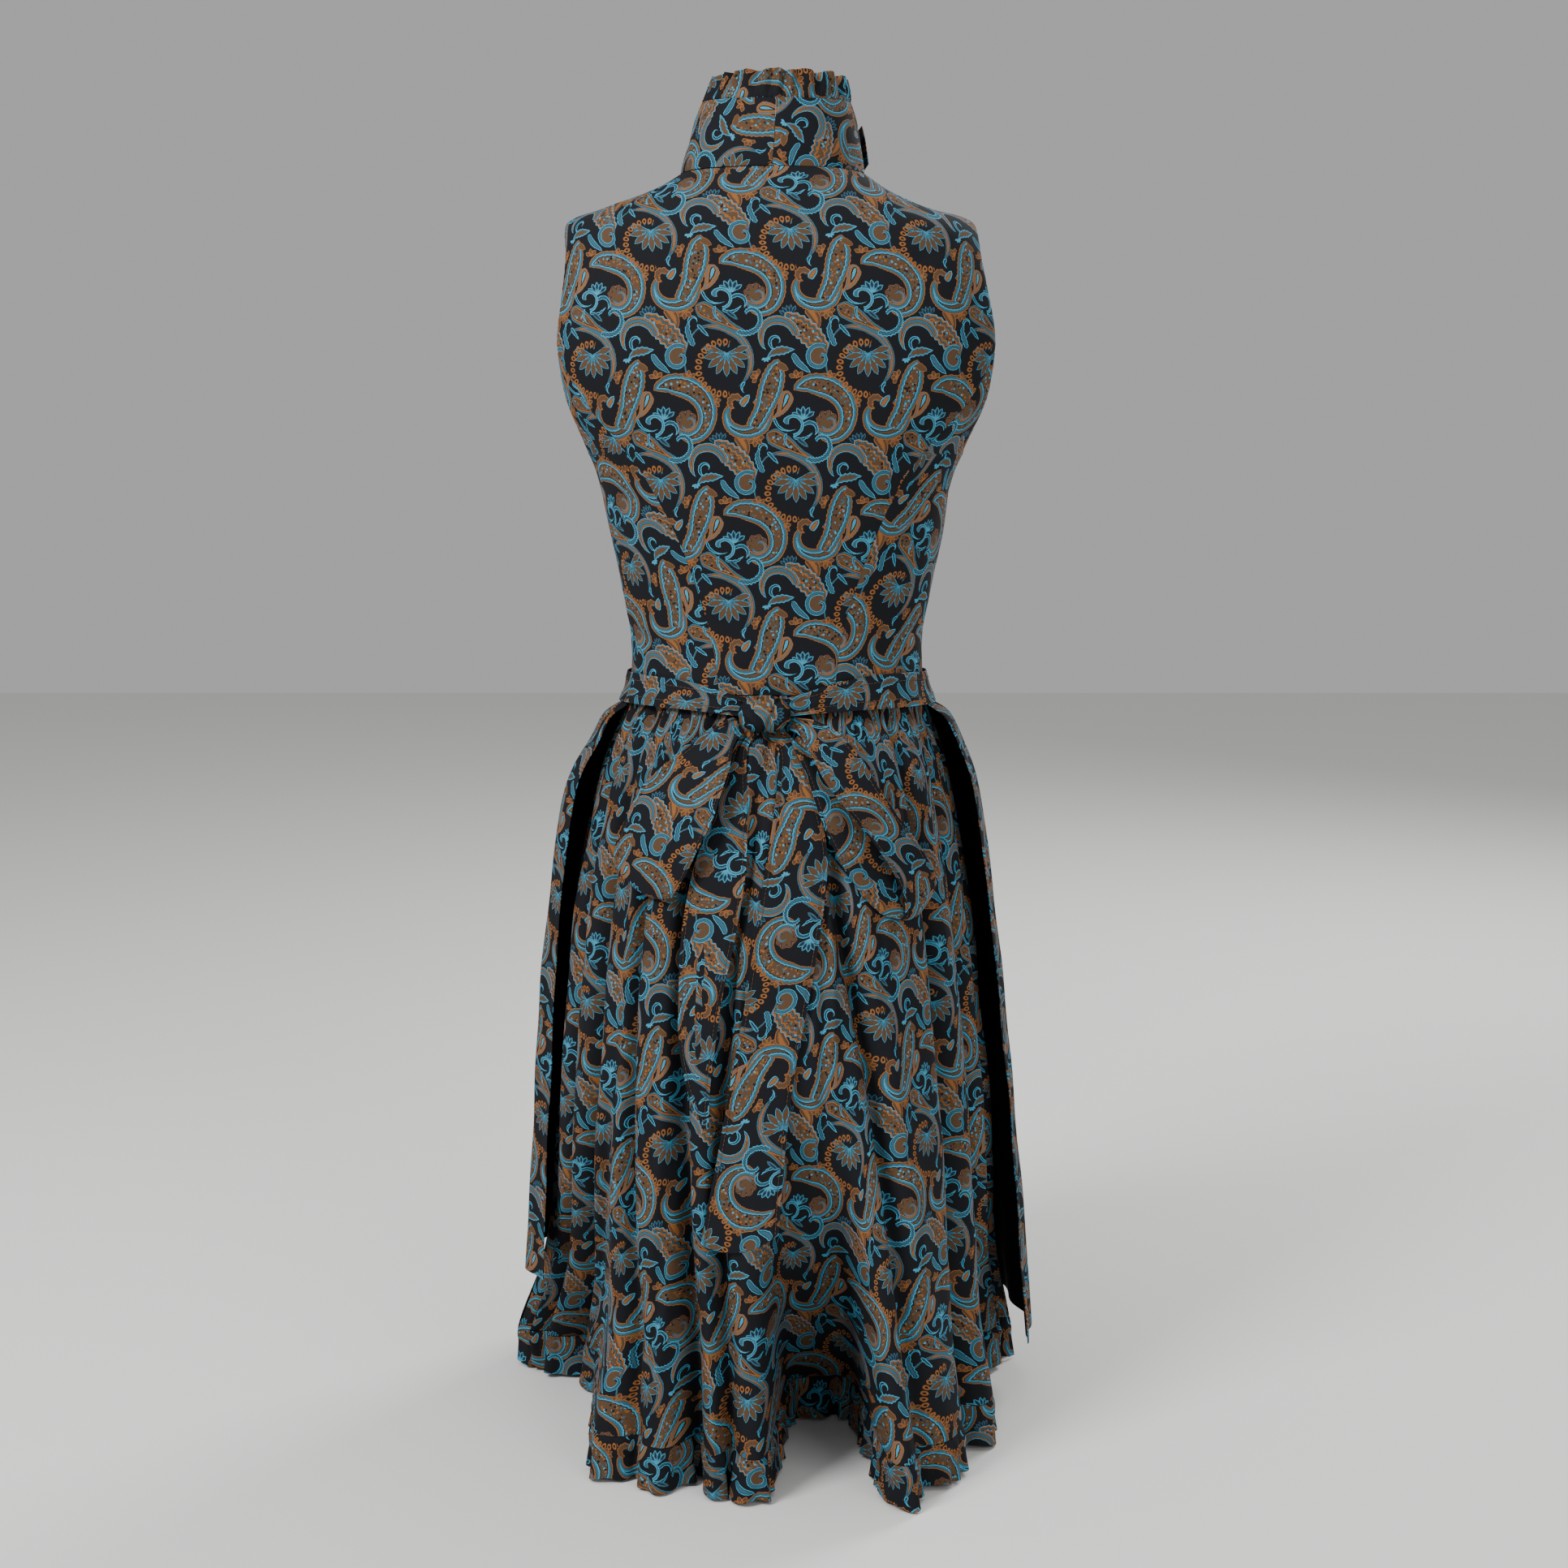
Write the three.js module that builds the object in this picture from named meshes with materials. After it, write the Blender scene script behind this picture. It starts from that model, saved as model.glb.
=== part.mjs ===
// Dirndl with apron, hollow and in its worn form.
// Millimetres, +Z up, +X towards the wearer's right, the garment's back faces -Y.
// The origin is the point between the shoulders where the wearer carries it.

import * as THREE from 'three';
import { mergeVertices } from 'three/addons/utils/BufferGeometryUtils.js';

// Driving dimensions
const CLOTH = 1.5;            // thickness of a cloth wall
const SEAM = 0.4;             // space between two pieces at a seam
const WAIST = -397;           // height of the waist seam
const HEM = -965;             // height of the skirt's hem, where its frill starts
const HEM_FRILL = 35;         // depth of the hem frill
const HEM_WAVE = 26;          // length of one wave of the hem frill
const HEM_WAVE_REACH = 4.5;   // how far a wave of the hem frill swings to each side
const COLLAR_WAVES = 28;      // waves of the collar frill
const COLLAR_WAVE_REACH = 2.6;
const FRILL_CLOTH = 1.2;      // thickness of the collar frill
const APRON_EDGE = 72;        // degrees from the centre back to the apron's rear edges
const APRON_TILT = 29;        // the apron's hem is this much higher left and lower right
const APRON_FOLDS = 17;       // folds of the apron, counted on a full turn
const TIE_CLEAR = 3.4;        // how far the ribbon ends stand off the skirt's ridges

const DEG = Math.PI / 180;

// Bodice, a row for each level from the waist seam to the neck seam.
// side, rear and fore: heights at the side, centre back and centre front.
// half, back and front: half width and depths. mid: the lean to one side.
// round: 1 is an ellipse, less is squarer.
const BODICE = [
  { t: 0, side: WAIST, rear: WAIST, fore: WAIST, half: 119, back: 92, front: 90, mid: 1.5, round: 0.95 },
  { t: 1, side: -355, rear: -355, fore: -355, half: 119, back: 88, front: 88, mid: 1, round: 0.95 },
  { t: 2, side: -316, rear: -316, fore: -316, half: 126, back: 91, front: 97, mid: 1, round: 0.94 },
  { t: 3, side: -276, rear: -276, fore: -276, half: 134, back: 98, front: 110, mid: 1, round: 0.92 },
  { t: 4, side: -237, rear: -240, fore: -240, half: 141, back: 105, front: 122, mid: 0, round: 0.89 },
  { t: 5, side: -212, rear: -214, fore: -214, half: 150, back: 109, front: 127, mid: 0, round: 0.86 },
  { t: 6, side: -165, rear: -178, fore: -176, half: 176, back: 112, front: 124, mid: 1, round: 0.8 },
  { t: 7, side: -125, rear: -145, fore: -140, half: 185, back: 113, front: 114, mid: 1, round: 0.76 },
  { t: 8, side: -88, rear: -112, fore: -108, half: 181, back: 112, front: 102, mid: 0.5, round: 0.75 },
  { t: 9, side: -55, rear: -80, fore: -82, half: 172, back: 107, front: 92, mid: -1, round: 0.76 },
  { t: 10, side: -30, rear: -52, fore: -62, half: 160, back: 99, front: 84, mid: -4, round: 0.79 },
  { t: 11, side: -19, rear: -30, fore: -48, half: 128, back: 90, front: 76, mid: -6, round: 0.84 },
  { t: 12, side: -8, rear: -10, fore: -36, half: 97, back: 78, front: 68, mid: -4, round: 0.9 },
  { t: 13, side: 7, rear: 5, fore: -25, half: 73, back: 64, front: 60, mid: -2, round: 0.95 },
];
// Curved seams, in degrees from the centre back, for the same levels. They end at the armhole.
const BODICE_SEAMS = [
  { t: 0, back: 21, front: 157 },
  { t: 1, back: 24, front: 155 },
  { t: 2, back: 28, front: 152 },
  { t: 3, back: 33, front: 148 },
  { t: 4, back: 40, front: 143 },
  { t: 5, back: 46, front: 138 },
  { t: 6, back: 54, front: 128 },
  { t: 7, back: 63, front: 117 },
];
const SEAM_TOP = 6.94;        // level where a side piece ends in a point at the armhole
// Armhole: levels of its ends, and of the stretch where it is widest, in degrees to each side.
const ARMHOLE = { bottom: 5, wideFrom: 7, wideTo: 8, top: 10, widest: 27 };

// Stand collar and its frill, from the neck seam up.
const COLLAR = [
  { t: 0, side: 7.7, rear: 5.7, fore: -24.3, half: 73, back: 64, front: 60, mid: -2, round: 0.96 },
  { t: 1, side: 38, rear: 32, fore: 8, half: 66.5, back: 58, front: 59, mid: 0, round: 0.97 },
  { t: 2, side: 62, rear: 58, fore: 40, half: 59, back: 51, front: 60, mid: 1, round: 0.98 },
];
const COLLAR_FRILL = [
  { t: 0, side: 62.6, rear: 58.6, fore: 40.6, half: 58.4, back: 50.4, front: 59.4, mid: 1, round: 0.98 },
  { t: 1, side: 71, rear: 68, fore: 51, half: 55.5, back: 49.5, front: 59, mid: 2.5, round: 0.98 },
  { t: 2, side: 80, rear: 79, fore: 62, half: 51.5, back: 50, front: 60, mid: 3.5, round: 0.98 },
];
const COLLAR_OPENING = 1.2;   // degrees that each collar edge stays from the centre front
const TAB = { from: 186, to: 96, low: 0.18, high: 0.7, lift: 2.1, flare: 3.2 };

// Skirt, a row for each level.
const SKIRT = [
  { t: 0, z: WAIST - 0.8, half: 118, back: 92, front: 90, mid: 1.5 },
  { t: 1, z: -415, half: 123, back: 99, front: 97, mid: 1 },
  { t: 2, z: -440, half: 133, back: 119, front: 114, mid: 0 },
  { t: 3, z: -480, half: 145, back: 139, front: 132, mid: -1 },
  { t: 4, z: -570, half: 161, back: 164, front: 158, mid: -3 },
  { t: 5, z: -680, half: 173, back: 184, front: 178, mid: -3 },
  { t: 6, z: -790, half: 184, back: 201, front: 193, mid: -3 },
  { t: 7, z: -885, half: 195, back: 206, front: 203, mid: -4 },
  { t: 8, z: HEM, half: 217, back: 214, front: 216, mid: -8 },
];

// Valleys of the skirt. waist, halfway and hem: degrees from the centre back at those levels.
// depth, left and right: its depth and its reach to each side at the hem.
// A soft valley runs the whole length and goes straight inward.
const BACK_FOLDS = [
  { waist: -84, halfway: -82, hem: -79, depth: 15, left: 15, right: 15 },
  { waist: -68, halfway: -68, hem: -65, depth: 13, left: 12, right: 12 },
  { waist: -52, halfway: -55, hem: -51, depth: 17, left: 14, right: 14 },
  { waist: -36, halfway: -40, hem: -29, depth: 10, left: 12, right: 12 },
  { waist: -23, halfway: -25, hem: -16, depth: 30, left: 13, right: 13 },
  { waist: 1, halfway: -12, hem: -7, depth: 9, left: 9, right: 9 },
  { waist: 6, halfway: 27, hem: 36, depth: 14, left: 14, right: 14 },
  { waist: 45, halfway: 53, hem: 51, depth: 20, left: 14, right: 14 },
  { waist: 64, halfway: 67, hem: 64, depth: 14, left: 12, right: 12 },
  { waist: 83, halfway: 81, hem: 81, depth: 15, left: 14, right: 14 },
];
// Deep folds that open towards the hem. from: share of the length where one starts.
// lean: how far its floor slides under the fold beside it. steepL, steepR: its walls,
// 2 is soft and 4 or more is steep. A deep fold goes forward, into the skirt, and one of
// negative depth is a lobe that stands out.
const DEEP_FOLDS = [
  { halfway: 7, hem: 12.6, depth: 142, left: 39, right: 42, from: 0.5, lean: -4, steepL: 6, steepR: 6 },
  { halfway: -48, hem: -42, depth: 146, left: 170, right: 12, from: 0.52, lean: 0, steepL: 2, steepR: 4 },
  { halfway: 66, hem: 67, depth: 106, left: 12, right: 115, from: 0.56, lean: -6, steepL: 4, steepR: 2 },
  { halfway: 31, hem: 31, depth: -42, left: 32, right: 46, from: 0.4, lean: 0, steepL: 2, steepR: 2 },
];
const FRONT_FOLDS = 12;       // further valleys, spread unevenly over the front
const FRONT_FOLD_DEPTH = 17;
const FRONT_FOLD_WIDTH = 15;

// Apron panel, a row for each level. Its hem's height is set by the tilt.
const APRON = [
  { t: 0, z: WAIST - 1, half: 122, back: 95.5, front: 94, mid: 1.5 },
  { t: 1, z: -410, half: 126.6, back: 99.5, front: 98.5, mid: 1.5 },
  { t: 2, z: -420, half: 140, back: 112, front: 110, mid: 1.5 },
  { t: 3, z: -440, half: 150, back: 120, front: 123, mid: 1.5 },
  { t: 4, z: -480, half: 166.5, back: 126, front: 142, mid: -1.5 },
  { t: 5, z: -550, half: 177.5, back: 124, front: 168, mid: -2 },
  { t: 6, z: -650, half: 188.5, back: 118, front: 187, mid: -1 },
  { t: 7, z: -780, half: 199, back: 114, front: 204, mid: 2 },
  { t: 8, z: -922, half: 209, back: 112, front: 222, mid: 4.5 },
];

// Apron band and ties: the section's rows, and the edges' heights round the waist.
const BAND_TOP = -383;
const BAND_ROW = 14;          // height between two rows of the band's section
const BAND = [
  { t: 0, half: 122.2, back: 94.2, front: 93.2, mid: 1.5 },
  { t: 1, half: 125, back: 98.4, front: 97.2, mid: 1.5 },
  { t: 2, half: 130.8, back: 103.2, front: 102.8, mid: 1.5 },
];
const BAND_EDGES = [
  { at: -180, top: -383, bottom: -410 },
  { at: -90, top: -385, bottom: -409 },
  { at: -60, top: -385, bottom: -408 },
  { at: -33, top: -388, bottom: -409 },
  { at: -14, top: -397, bottom: -412 },
  { at: -4, top: -400, bottom: -414 },
  { at: 5, top: -398, bottom: -412 },
  { at: 20, top: -389, bottom: -410 },
  { at: 41, top: -383, bottom: -409 },
  { at: 90, top: -385, bottom: -410 },
  { at: 180, top: -383, bottom: -410 },
];
const TIES_MEET = -4;         // degrees from the centre back, under the knot

const KNOT = { x: -8, z: -410, halfWidth: 20, halfDepth: 12, halfHeight: 14, wraps: 3, relief: 0.07 };

// Ribbons of the bow. A row crosses the ribbon from its left to its right edge.
// lift: how far the row stands off the skirt's ridges. dip: how far its middle hangs lower.
const LEFT_LOOP = [
  { t: 0, leftX: -32, leftZ: -413, rightX: -24, rightZ: -424, lift: 9, dip: 0 },
  { t: 1, leftX: -46, leftZ: -418, rightX: -31, rightZ: -431, lift: 14, dip: 0 },
  { t: 2, leftX: -66, leftZ: -434, rightX: -34, rightZ: -446, lift: 18, dip: 0 },
  { t: 3, leftX: -87, leftZ: -450, rightX: -40, rightZ: -464, lift: 20, dip: 0 },
  { t: 4, leftX: -103, leftZ: -466, rightX: -47, rightZ: -485, lift: 21, dip: 0 },
  { t: 5, leftX: -115, leftZ: -490, rightX: -58, rightZ: -507, lift: 20, dip: 1 },
  { t: 6, leftX: -124, leftZ: -512, rightX: -68, rightZ: -528, lift: 17, dip: 4 },
  { t: 7, leftX: -125, leftZ: -526, rightX: -76, rightZ: -541, lift: 14, dip: 7 },
  { t: 8, leftX: -123, leftZ: -531, rightX: -78, rightZ: -546, lift: 9.5, dip: 8 },
  { t: 9, leftX: -119, leftZ: -527, rightX: -77, rightZ: -541, lift: 6, dip: 7 },
  { t: 10, leftX: -108, leftZ: -500, rightX: -62, rightZ: -508, lift: 5.2, dip: 2 },
  { t: 11, leftX: -84, leftZ: -460, rightX: -45, rightZ: -466, lift: 5.2, dip: 0 },
  { t: 12, leftX: -54, leftZ: -431, rightX: -34, rightZ: -439, lift: 5.2, dip: 0 },
  { t: 13, leftX: -36, leftZ: -419, rightX: -28, rightZ: -427, lift: 4.2, dip: 0 },
];
const RIGHT_LOOP = [
  { t: 0, leftX: 11, leftZ: -421.5, rightX: 15.5, rightZ: -413, lift: 9, dip: 0 },
  { t: 1, leftX: 19, leftZ: -425, rightX: 32, rightZ: -415, lift: 15, dip: 0 },
  { t: 2, leftX: 28, leftZ: -438, rightX: 50, rightZ: -425, lift: 21, dip: 0 },
  { t: 3, leftX: 37, leftZ: -455, rightX: 66, rightZ: -442, lift: 24, dip: 0 },
  { t: 4, leftX: 50, leftZ: -472, rightX: 78, rightZ: -462, lift: 26, dip: 0 },
  { t: 5, leftX: 63, leftZ: -488, rightX: 93, rightZ: -484, lift: 26, dip: 0 },
  { t: 6, leftX: 76, leftZ: -505, rightX: 107, rightZ: -503, lift: 25, dip: 0 },
  { t: 7, leftX: 88, leftZ: -523, rightX: 119, rightZ: -524, lift: 22, dip: 2 },
  { t: 8, leftX: 98, leftZ: -545, rightX: 126, rightZ: -542, lift: 17, dip: 5 },
  { t: 9, leftX: 100, leftZ: -562, rightX: 121, rightZ: -554, lift: 10.5, dip: 5 },
  { t: 10, leftX: 91, leftZ: -565, rightX: 116, rightZ: -556, lift: 6, dip: 4 },
  { t: 11, leftX: 74, leftZ: -553, rightX: 107, rightZ: -538, lift: 5.2, dip: 1 },
  { t: 12, leftX: 54, leftZ: -526, rightX: 88, rightZ: -510, lift: 5.2, dip: 0 },
  { t: 13, leftX: 37, leftZ: -492, rightX: 64, rightZ: -474, lift: 5.2, dip: 0 },
  { t: 14, leftX: 25, leftZ: -457, rightX: 42, rightZ: -444, lift: 5.2, dip: 0 },
  { t: 15, leftX: 13, leftZ: -431, rightX: 20, rightZ: -424, lift: 5, dip: 0 },
];
const SHORT_TAIL = [
  { t: 0, leftX: -23, leftZ: -423, rightX: -12, rightZ: -424.5, lift: TIE_CLEAR, dip: 0 },
  { t: 1, leftX: -32, leftZ: -437, rightX: -21, rightZ: -437, lift: TIE_CLEAR, dip: 0 },
  { t: 2, leftX: -46, leftZ: -481, rightX: -21, rightZ: -481, lift: TIE_CLEAR, dip: 0 },
  { t: 3, leftX: -62, leftZ: -525, rightX: -22, rightZ: -525, lift: TIE_CLEAR, dip: 0 },
  { t: 4, leftX: -71, leftZ: -574, rightX: -30, rightZ: -574, lift: TIE_CLEAR, dip: 0 },
  { t: 5, leftX: -73, leftZ: -620, rightX: -40, rightZ: -620, lift: TIE_CLEAR, dip: 0 },
  { t: 6, leftX: -73, leftZ: -655, rightX: -45, rightZ: -655, lift: TIE_CLEAR, dip: 0 },
  { t: 7, leftX: -66, leftZ: -689, rightX: -49, rightZ: -689, lift: TIE_CLEAR, dip: 0 },
  { t: 8, leftX: -54, leftZ: -716, rightX: -50, rightZ: -716, lift: TIE_CLEAR, dip: 0 },
];
const LONG_TAIL = [
  { t: 0, leftX: -7, leftZ: -424.6, rightX: 8, rightZ: -422.5, lift: TIE_CLEAR, dip: 0 },
  { t: 1, leftX: 3, leftZ: -440, rightX: 20, rightZ: -438, lift: TIE_CLEAR, dip: 0 },
  { t: 2, leftX: 0, leftZ: -478, rightX: 33, rightZ: -478, lift: TIE_CLEAR, dip: 0 },
  { t: 3, leftX: -6, leftZ: -515, rightX: 40, rightZ: -515, lift: TIE_CLEAR, dip: 0 },
  { t: 4, leftX: -13, leftZ: -560, rightX: 36, rightZ: -560, lift: TIE_CLEAR, dip: 0 },
  { t: 5, leftX: -21, leftZ: -613, rightX: 27, rightZ: -613, lift: TIE_CLEAR, dip: 0 },
  { t: 6, leftX: -32, leftZ: -674, rightX: 15, rightZ: -674, lift: TIE_CLEAR, dip: 0 },
  { t: 7, leftX: -44, leftZ: -740, rightX: 7, rightZ: -740, lift: TIE_CLEAR, dip: 0 },
  { t: 8, leftX: -56, leftZ: -802, rightX: 3, rightZ: -792, lift: TIE_CLEAR, dip: 9 },
];

// Smooth value of a column at a place between the rows of a table.
function along(rows, key, at, by = 't') {
  const last = rows.length - 1;
  let i = 0;
  while (i < last - 1 && at > rows[i + 1][by]) i += 1;
  const x1 = rows[i][by];
  const x2 = rows[i + 1][by];
  const y1 = rows[i][key];
  const y2 = rows[i + 1][key];
  const slope = (y2 - y1) / (x2 - x1);
  const before = i > 0 ? (y2 - rows[i - 1][key]) / (x2 - rows[i - 1][by]) : slope;
  const after = i < last - 1 ? (rows[i + 2][key] - y1) / (rows[i + 2][by] - x1) : slope;
  const s = (at - x1) / (x2 - x1);
  const a = (before - slope) * (x2 - x1);
  const b = (after - slope) * (x2 - x1);
  return y1 + (y2 - y1) * s + s * (1 - s) * (a * (1 - s) - b * s);
}

// Point on a ring of a table: the angle counts from the centre back towards +X.
function ring(rows, degrees, t, out = 0) {
  const s = Math.sin(degrees * DEG);
  const c = Math.cos(degrees * DEG);
  const round = rows[0].round === undefined ? 1 : along(rows, 'round', t);
  const depth = along(rows, c > 0 ? 'back' : 'front', t) + out;
  const half = along(rows, 'half', t) + out;
  const mid = rows[0].mid === undefined ? 0 : along(rows, 'mid', t);
  let z = 0;
  if (rows[0].z !== undefined) {
    z = along(rows, 'z', t);
  } else if (rows[0].side !== undefined) {
    const side = along(rows, 'side', t);
    z = side + (along(rows, c > 0 ? 'rear' : 'fore', t) - side) * Math.abs(c) ** 1.2;
  }
  const x = mid + Math.sign(s) * half * Math.abs(s) ** round;
  const y = -Math.sign(c) * depth * Math.abs(c) ** round;
  return new THREE.Vector3(x, y, z);
}

// Evenly spaced values from one end to the other.
function steps(from, to, count) {
  return Array.from({ length: count + 1 }, (_, i) => from + (to - from) * i / count);
}

// Closed wall of cloth over a grid of places: surface(u, v) gives the outer face.
// rises is true where v runs up the garment, and false where it runs down.
function wall(surface, us, vs, rises, thick = CLOTH) {
  const inward = rises ? -thick : thick;
  const du = (us.at(-1) - us[0]) * 1e-4;
  const dv = (vs.at(-1) - vs[0]) * 1e-4;
  const outer = [];
  const inner = [];
  for (const v of vs) {
    for (const u of us) {
      const p = surface(u, v);
      const across = surface(u + du, v).sub(surface(u - du, v));
      const down = surface(u, v + dv).sub(surface(u, v - dv));
      const n = across.cross(down).normalize();
      outer.push(p);
      inner.push(p.clone().addScaledVector(n, inward));
    }
  }
  return shell(outer, inner, us.length, vs.length);
}

// Triangles of a wall from its two grids of points, with rims on its four edges.
function shell(outer, inner, nu, nv) {
  const positions = [...outer, ...inner].flatMap((p) => [p.x, p.y, p.z]);
  const back = outer.length;
  const index = [];
  const quad = (a, b, c, d) => index.push(a, b, c, a, c, d);
  for (let j = 0; j < nv - 1; j += 1) {
    for (let i = 0; i < nu - 1; i += 1) {
      const a = j * nu + i;
      quad(a, a + 1, a + nu + 1, a + nu);
      quad(back + a, back + a + nu, back + a + nu + 1, back + a + 1);
    }
  }
  const rim = (a, b) => quad(b, a, back + a, back + b);
  for (let i = 0; i < nu - 1; i += 1) {
    rim(i, i + 1);
    rim((nv - 1) * nu + i + 1, (nv - 1) * nu + i);
  }
  for (let j = 0; j < nv - 1; j += 1) {
    rim((j + 1) * nu, j * nu);
    rim(j * nu + nu - 1, (j + 1) * nu + nu - 1);
  }
  const geometry = new THREE.BufferGeometry();
  geometry.setAttribute('position', new THREE.Float32BufferAttribute(positions, 3));
  geometry.setIndex(index);
  return volume(geometry) < 0 ? flipped(geometry) : geometry;
}

function volume(geometry) {
  const p = geometry.attributes.position;
  const at = (i) => new THREE.Vector3().fromBufferAttribute(p, geometry.index.getX(i));
  let sum = 0;
  for (let i = 0; i < geometry.index.count; i += 3) {
    sum += at(i).dot(at(i + 1).cross(at(i + 2)));
  }
  return sum / 6;
}

function flipped(geometry) {
  geometry.setIndex(Array.from(geometry.index.array).reverse());
  return geometry;
}

// Bodice: each panel runs between two edges given as degrees for a level.
const bodicePoint = (degrees, t) => ring(BODICE, degrees, t);
const edgeGap = SEAM / 3 / BODICE[0].half / DEG;

function bodicePanel(left, right, levels, columns) {
  const surface = (u, v) => {
    const gap = v < 10 ? edgeGap : 2 * edgeGap;
    const from = left(v) + gap;
    const to = right(v) - gap;
    return bodicePoint(from + (to - from) * u, v);
  };
  return wall(surface, steps(0, 1, columns), levels, true);
}

// How far the armhole's edge lies from the side, in degrees: an arch at both ends.
function armholeReach(t) {
  const below = (ARMHOLE.wideFrom - t) / (ARMHOLE.wideFrom - ARMHOLE.bottom);
  const above = (t - ARMHOLE.wideTo) / (ARMHOLE.top - ARMHOLE.wideTo);
  const share = Math.min(1, Math.max(0, below, above));
  return ARMHOLE.widest * Math.sqrt(1 - share * share);
}

const mirrored = (edge) => (t) => -edge(t);
const LEVELS = [0, 1, 2, 3, 4, 5, 5.1, 5.4, 6, 6.5, SEAM_TOP, 8, 9, 9.5, 9.85, 10, 11, 12, 13];
const SIDE_LEVELS = LEVELS.filter((t) => t <= SEAM_TOP);
const sideBack = (t) => 90 - armholeReach(t);
const sideFront = (t) => 90 + armholeReach(t);
const seamBack = (t) => (t < 7 ? along(BODICE_SEAMS, 'back', t) : sideBack(t));
const seamFront = (t) => (t < 7 ? along(BODICE_SEAMS, 'front', t) : sideFront(t));
const centreFront = () => 180;

// Stand collar, its frill and its closing tab.
const collarPoint = (degrees, t, out = 0) => ring(COLLAR, degrees, t, out);

function collarHalf(from, to) {
  return wall((u, v) => collarPoint(u, v), steps(from, to, 18), steps(0, 2, 3), true);
}

function collarFrill() {
  const end = 180 - COLLAR_OPENING;
  const surface = (u, v) => {
    const wave = Math.cos(u * DEG * COLLAR_WAVES) * COLLAR_WAVE_REACH * v / 2;
    return ring(COLLAR_FRILL, u, v, wave);
  };
  return wall(surface, steps(-end, end, COLLAR_WAVES * 4), [0, 2], true, FRILL_CLOTH);
}

function collarTab() {
  const surface = (u, v) => {
    const share = (TAB.from - u) / (TAB.from - TAB.to);
    return collarPoint(u, 2 * v, TAB.lift + TAB.flare * share ** 6);
  };
  return wall(surface, steps(TAB.to, TAB.from, 12), [TAB.low, TAB.high], true);
}

// Skirt
const frontFolds = Array.from({ length: FRONT_FOLDS }, (_, i) => {
  const at = 101 + i * 158 / (FRONT_FOLDS - 1);
  return {
    waist: at + 2 * Math.sin(3 * i),
    halfway: at + 3 * Math.sin(5 * i),
    hem: at + 4 * Math.sin(7 * i),
    depth: FRONT_FOLD_DEPTH * (1 + 0.3 * Math.sin(4 * i)),
    left: FRONT_FOLD_WIDTH * (1 + 0.15 * Math.cos(3 * i)),
    right: FRONT_FOLD_WIDTH * (1 - 0.15 * Math.cos(3 * i)),
  };
});
const FOLDS = [...BACK_FOLDS, ...frontFolds];

// Millimetres round the skirt from a valley's line, to the right when positive.
function beside(degrees, at, radius) {
  return ((((degrees - at + 540) % 360) + 360) % 360 - 180) * DEG * radius;
}

function skirtPoint(degrees, t) {
  const p = ring(SKIRT, degrees, t);
  const share = (WAIST - p.z) / (WAIST - HEM);
  const outward = ring(SKIRT, degrees, t, 1).sub(p).normalize();
  const radius = along(SKIRT, 'half', t);
  const grown = 0.35 + 0.65 * share;
  for (const fold of FOLDS) {
    const at = fold.waist * 2 * (share - 0.5) * (share - 1)
      - fold.halfway * 4 * share * (share - 1)
      + fold.hem * 2 * share * (share - 0.5);
    const side = beside(degrees, at, radius);
    const reach = (side < 0 ? fold.left : fold.right) * grown;
    p.addScaledVector(outward, -fold.depth * (0.1 + 0.9 * share) * Math.exp(-((side / reach) ** 2)));
  }
  for (const fold of DEEP_FOLDS) {
    const open = Math.max(0, (share - fold.from) / (1 - fold.from));
    const at = fold.halfway + (fold.hem - fold.halfway) * (2 * share - 1);
    const side = beside(degrees, at, radius);
    const reach = (side < 0 ? fold.left : fold.right) * grown;
    const steep = side < 0 ? fold.steepL : fold.steepR;
    const amount = Math.exp(-(Math.abs(side / reach) ** steep)) * open ** 1.5;
    p.x += fold.lean * amount;
    p.y += fold.depth * amount;
  }
  return p;
}

const FOLD_STEP = 2.9;        // degrees between the skirt's columns
const FINE_STEP = 1.3;        // the same where a deep fold's wall is steep
const STEEP_WALLS = [[-46, -34], [-1, 5], [20, 27], [60, 67]];

function skirtColumns(from, to) {
  const columns = [];
  let at = from;
  while (at < to - 0.8) {
    columns.push(at);
    const here = at;
    at += STEEP_WALLS.some(([low, high]) => here > low && here < high) ? FINE_STEP : FOLD_STEP;
  }
  return [...columns, to];
}

const sideGap = 2 * SEAM / SKIRT.at(-1).half / DEG;

function skirtWall(from, to) {
  return wall(skirtPoint, skirtColumns(from + sideGap, to - sideGap), steps(0, 8, 8), false);
}

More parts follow.
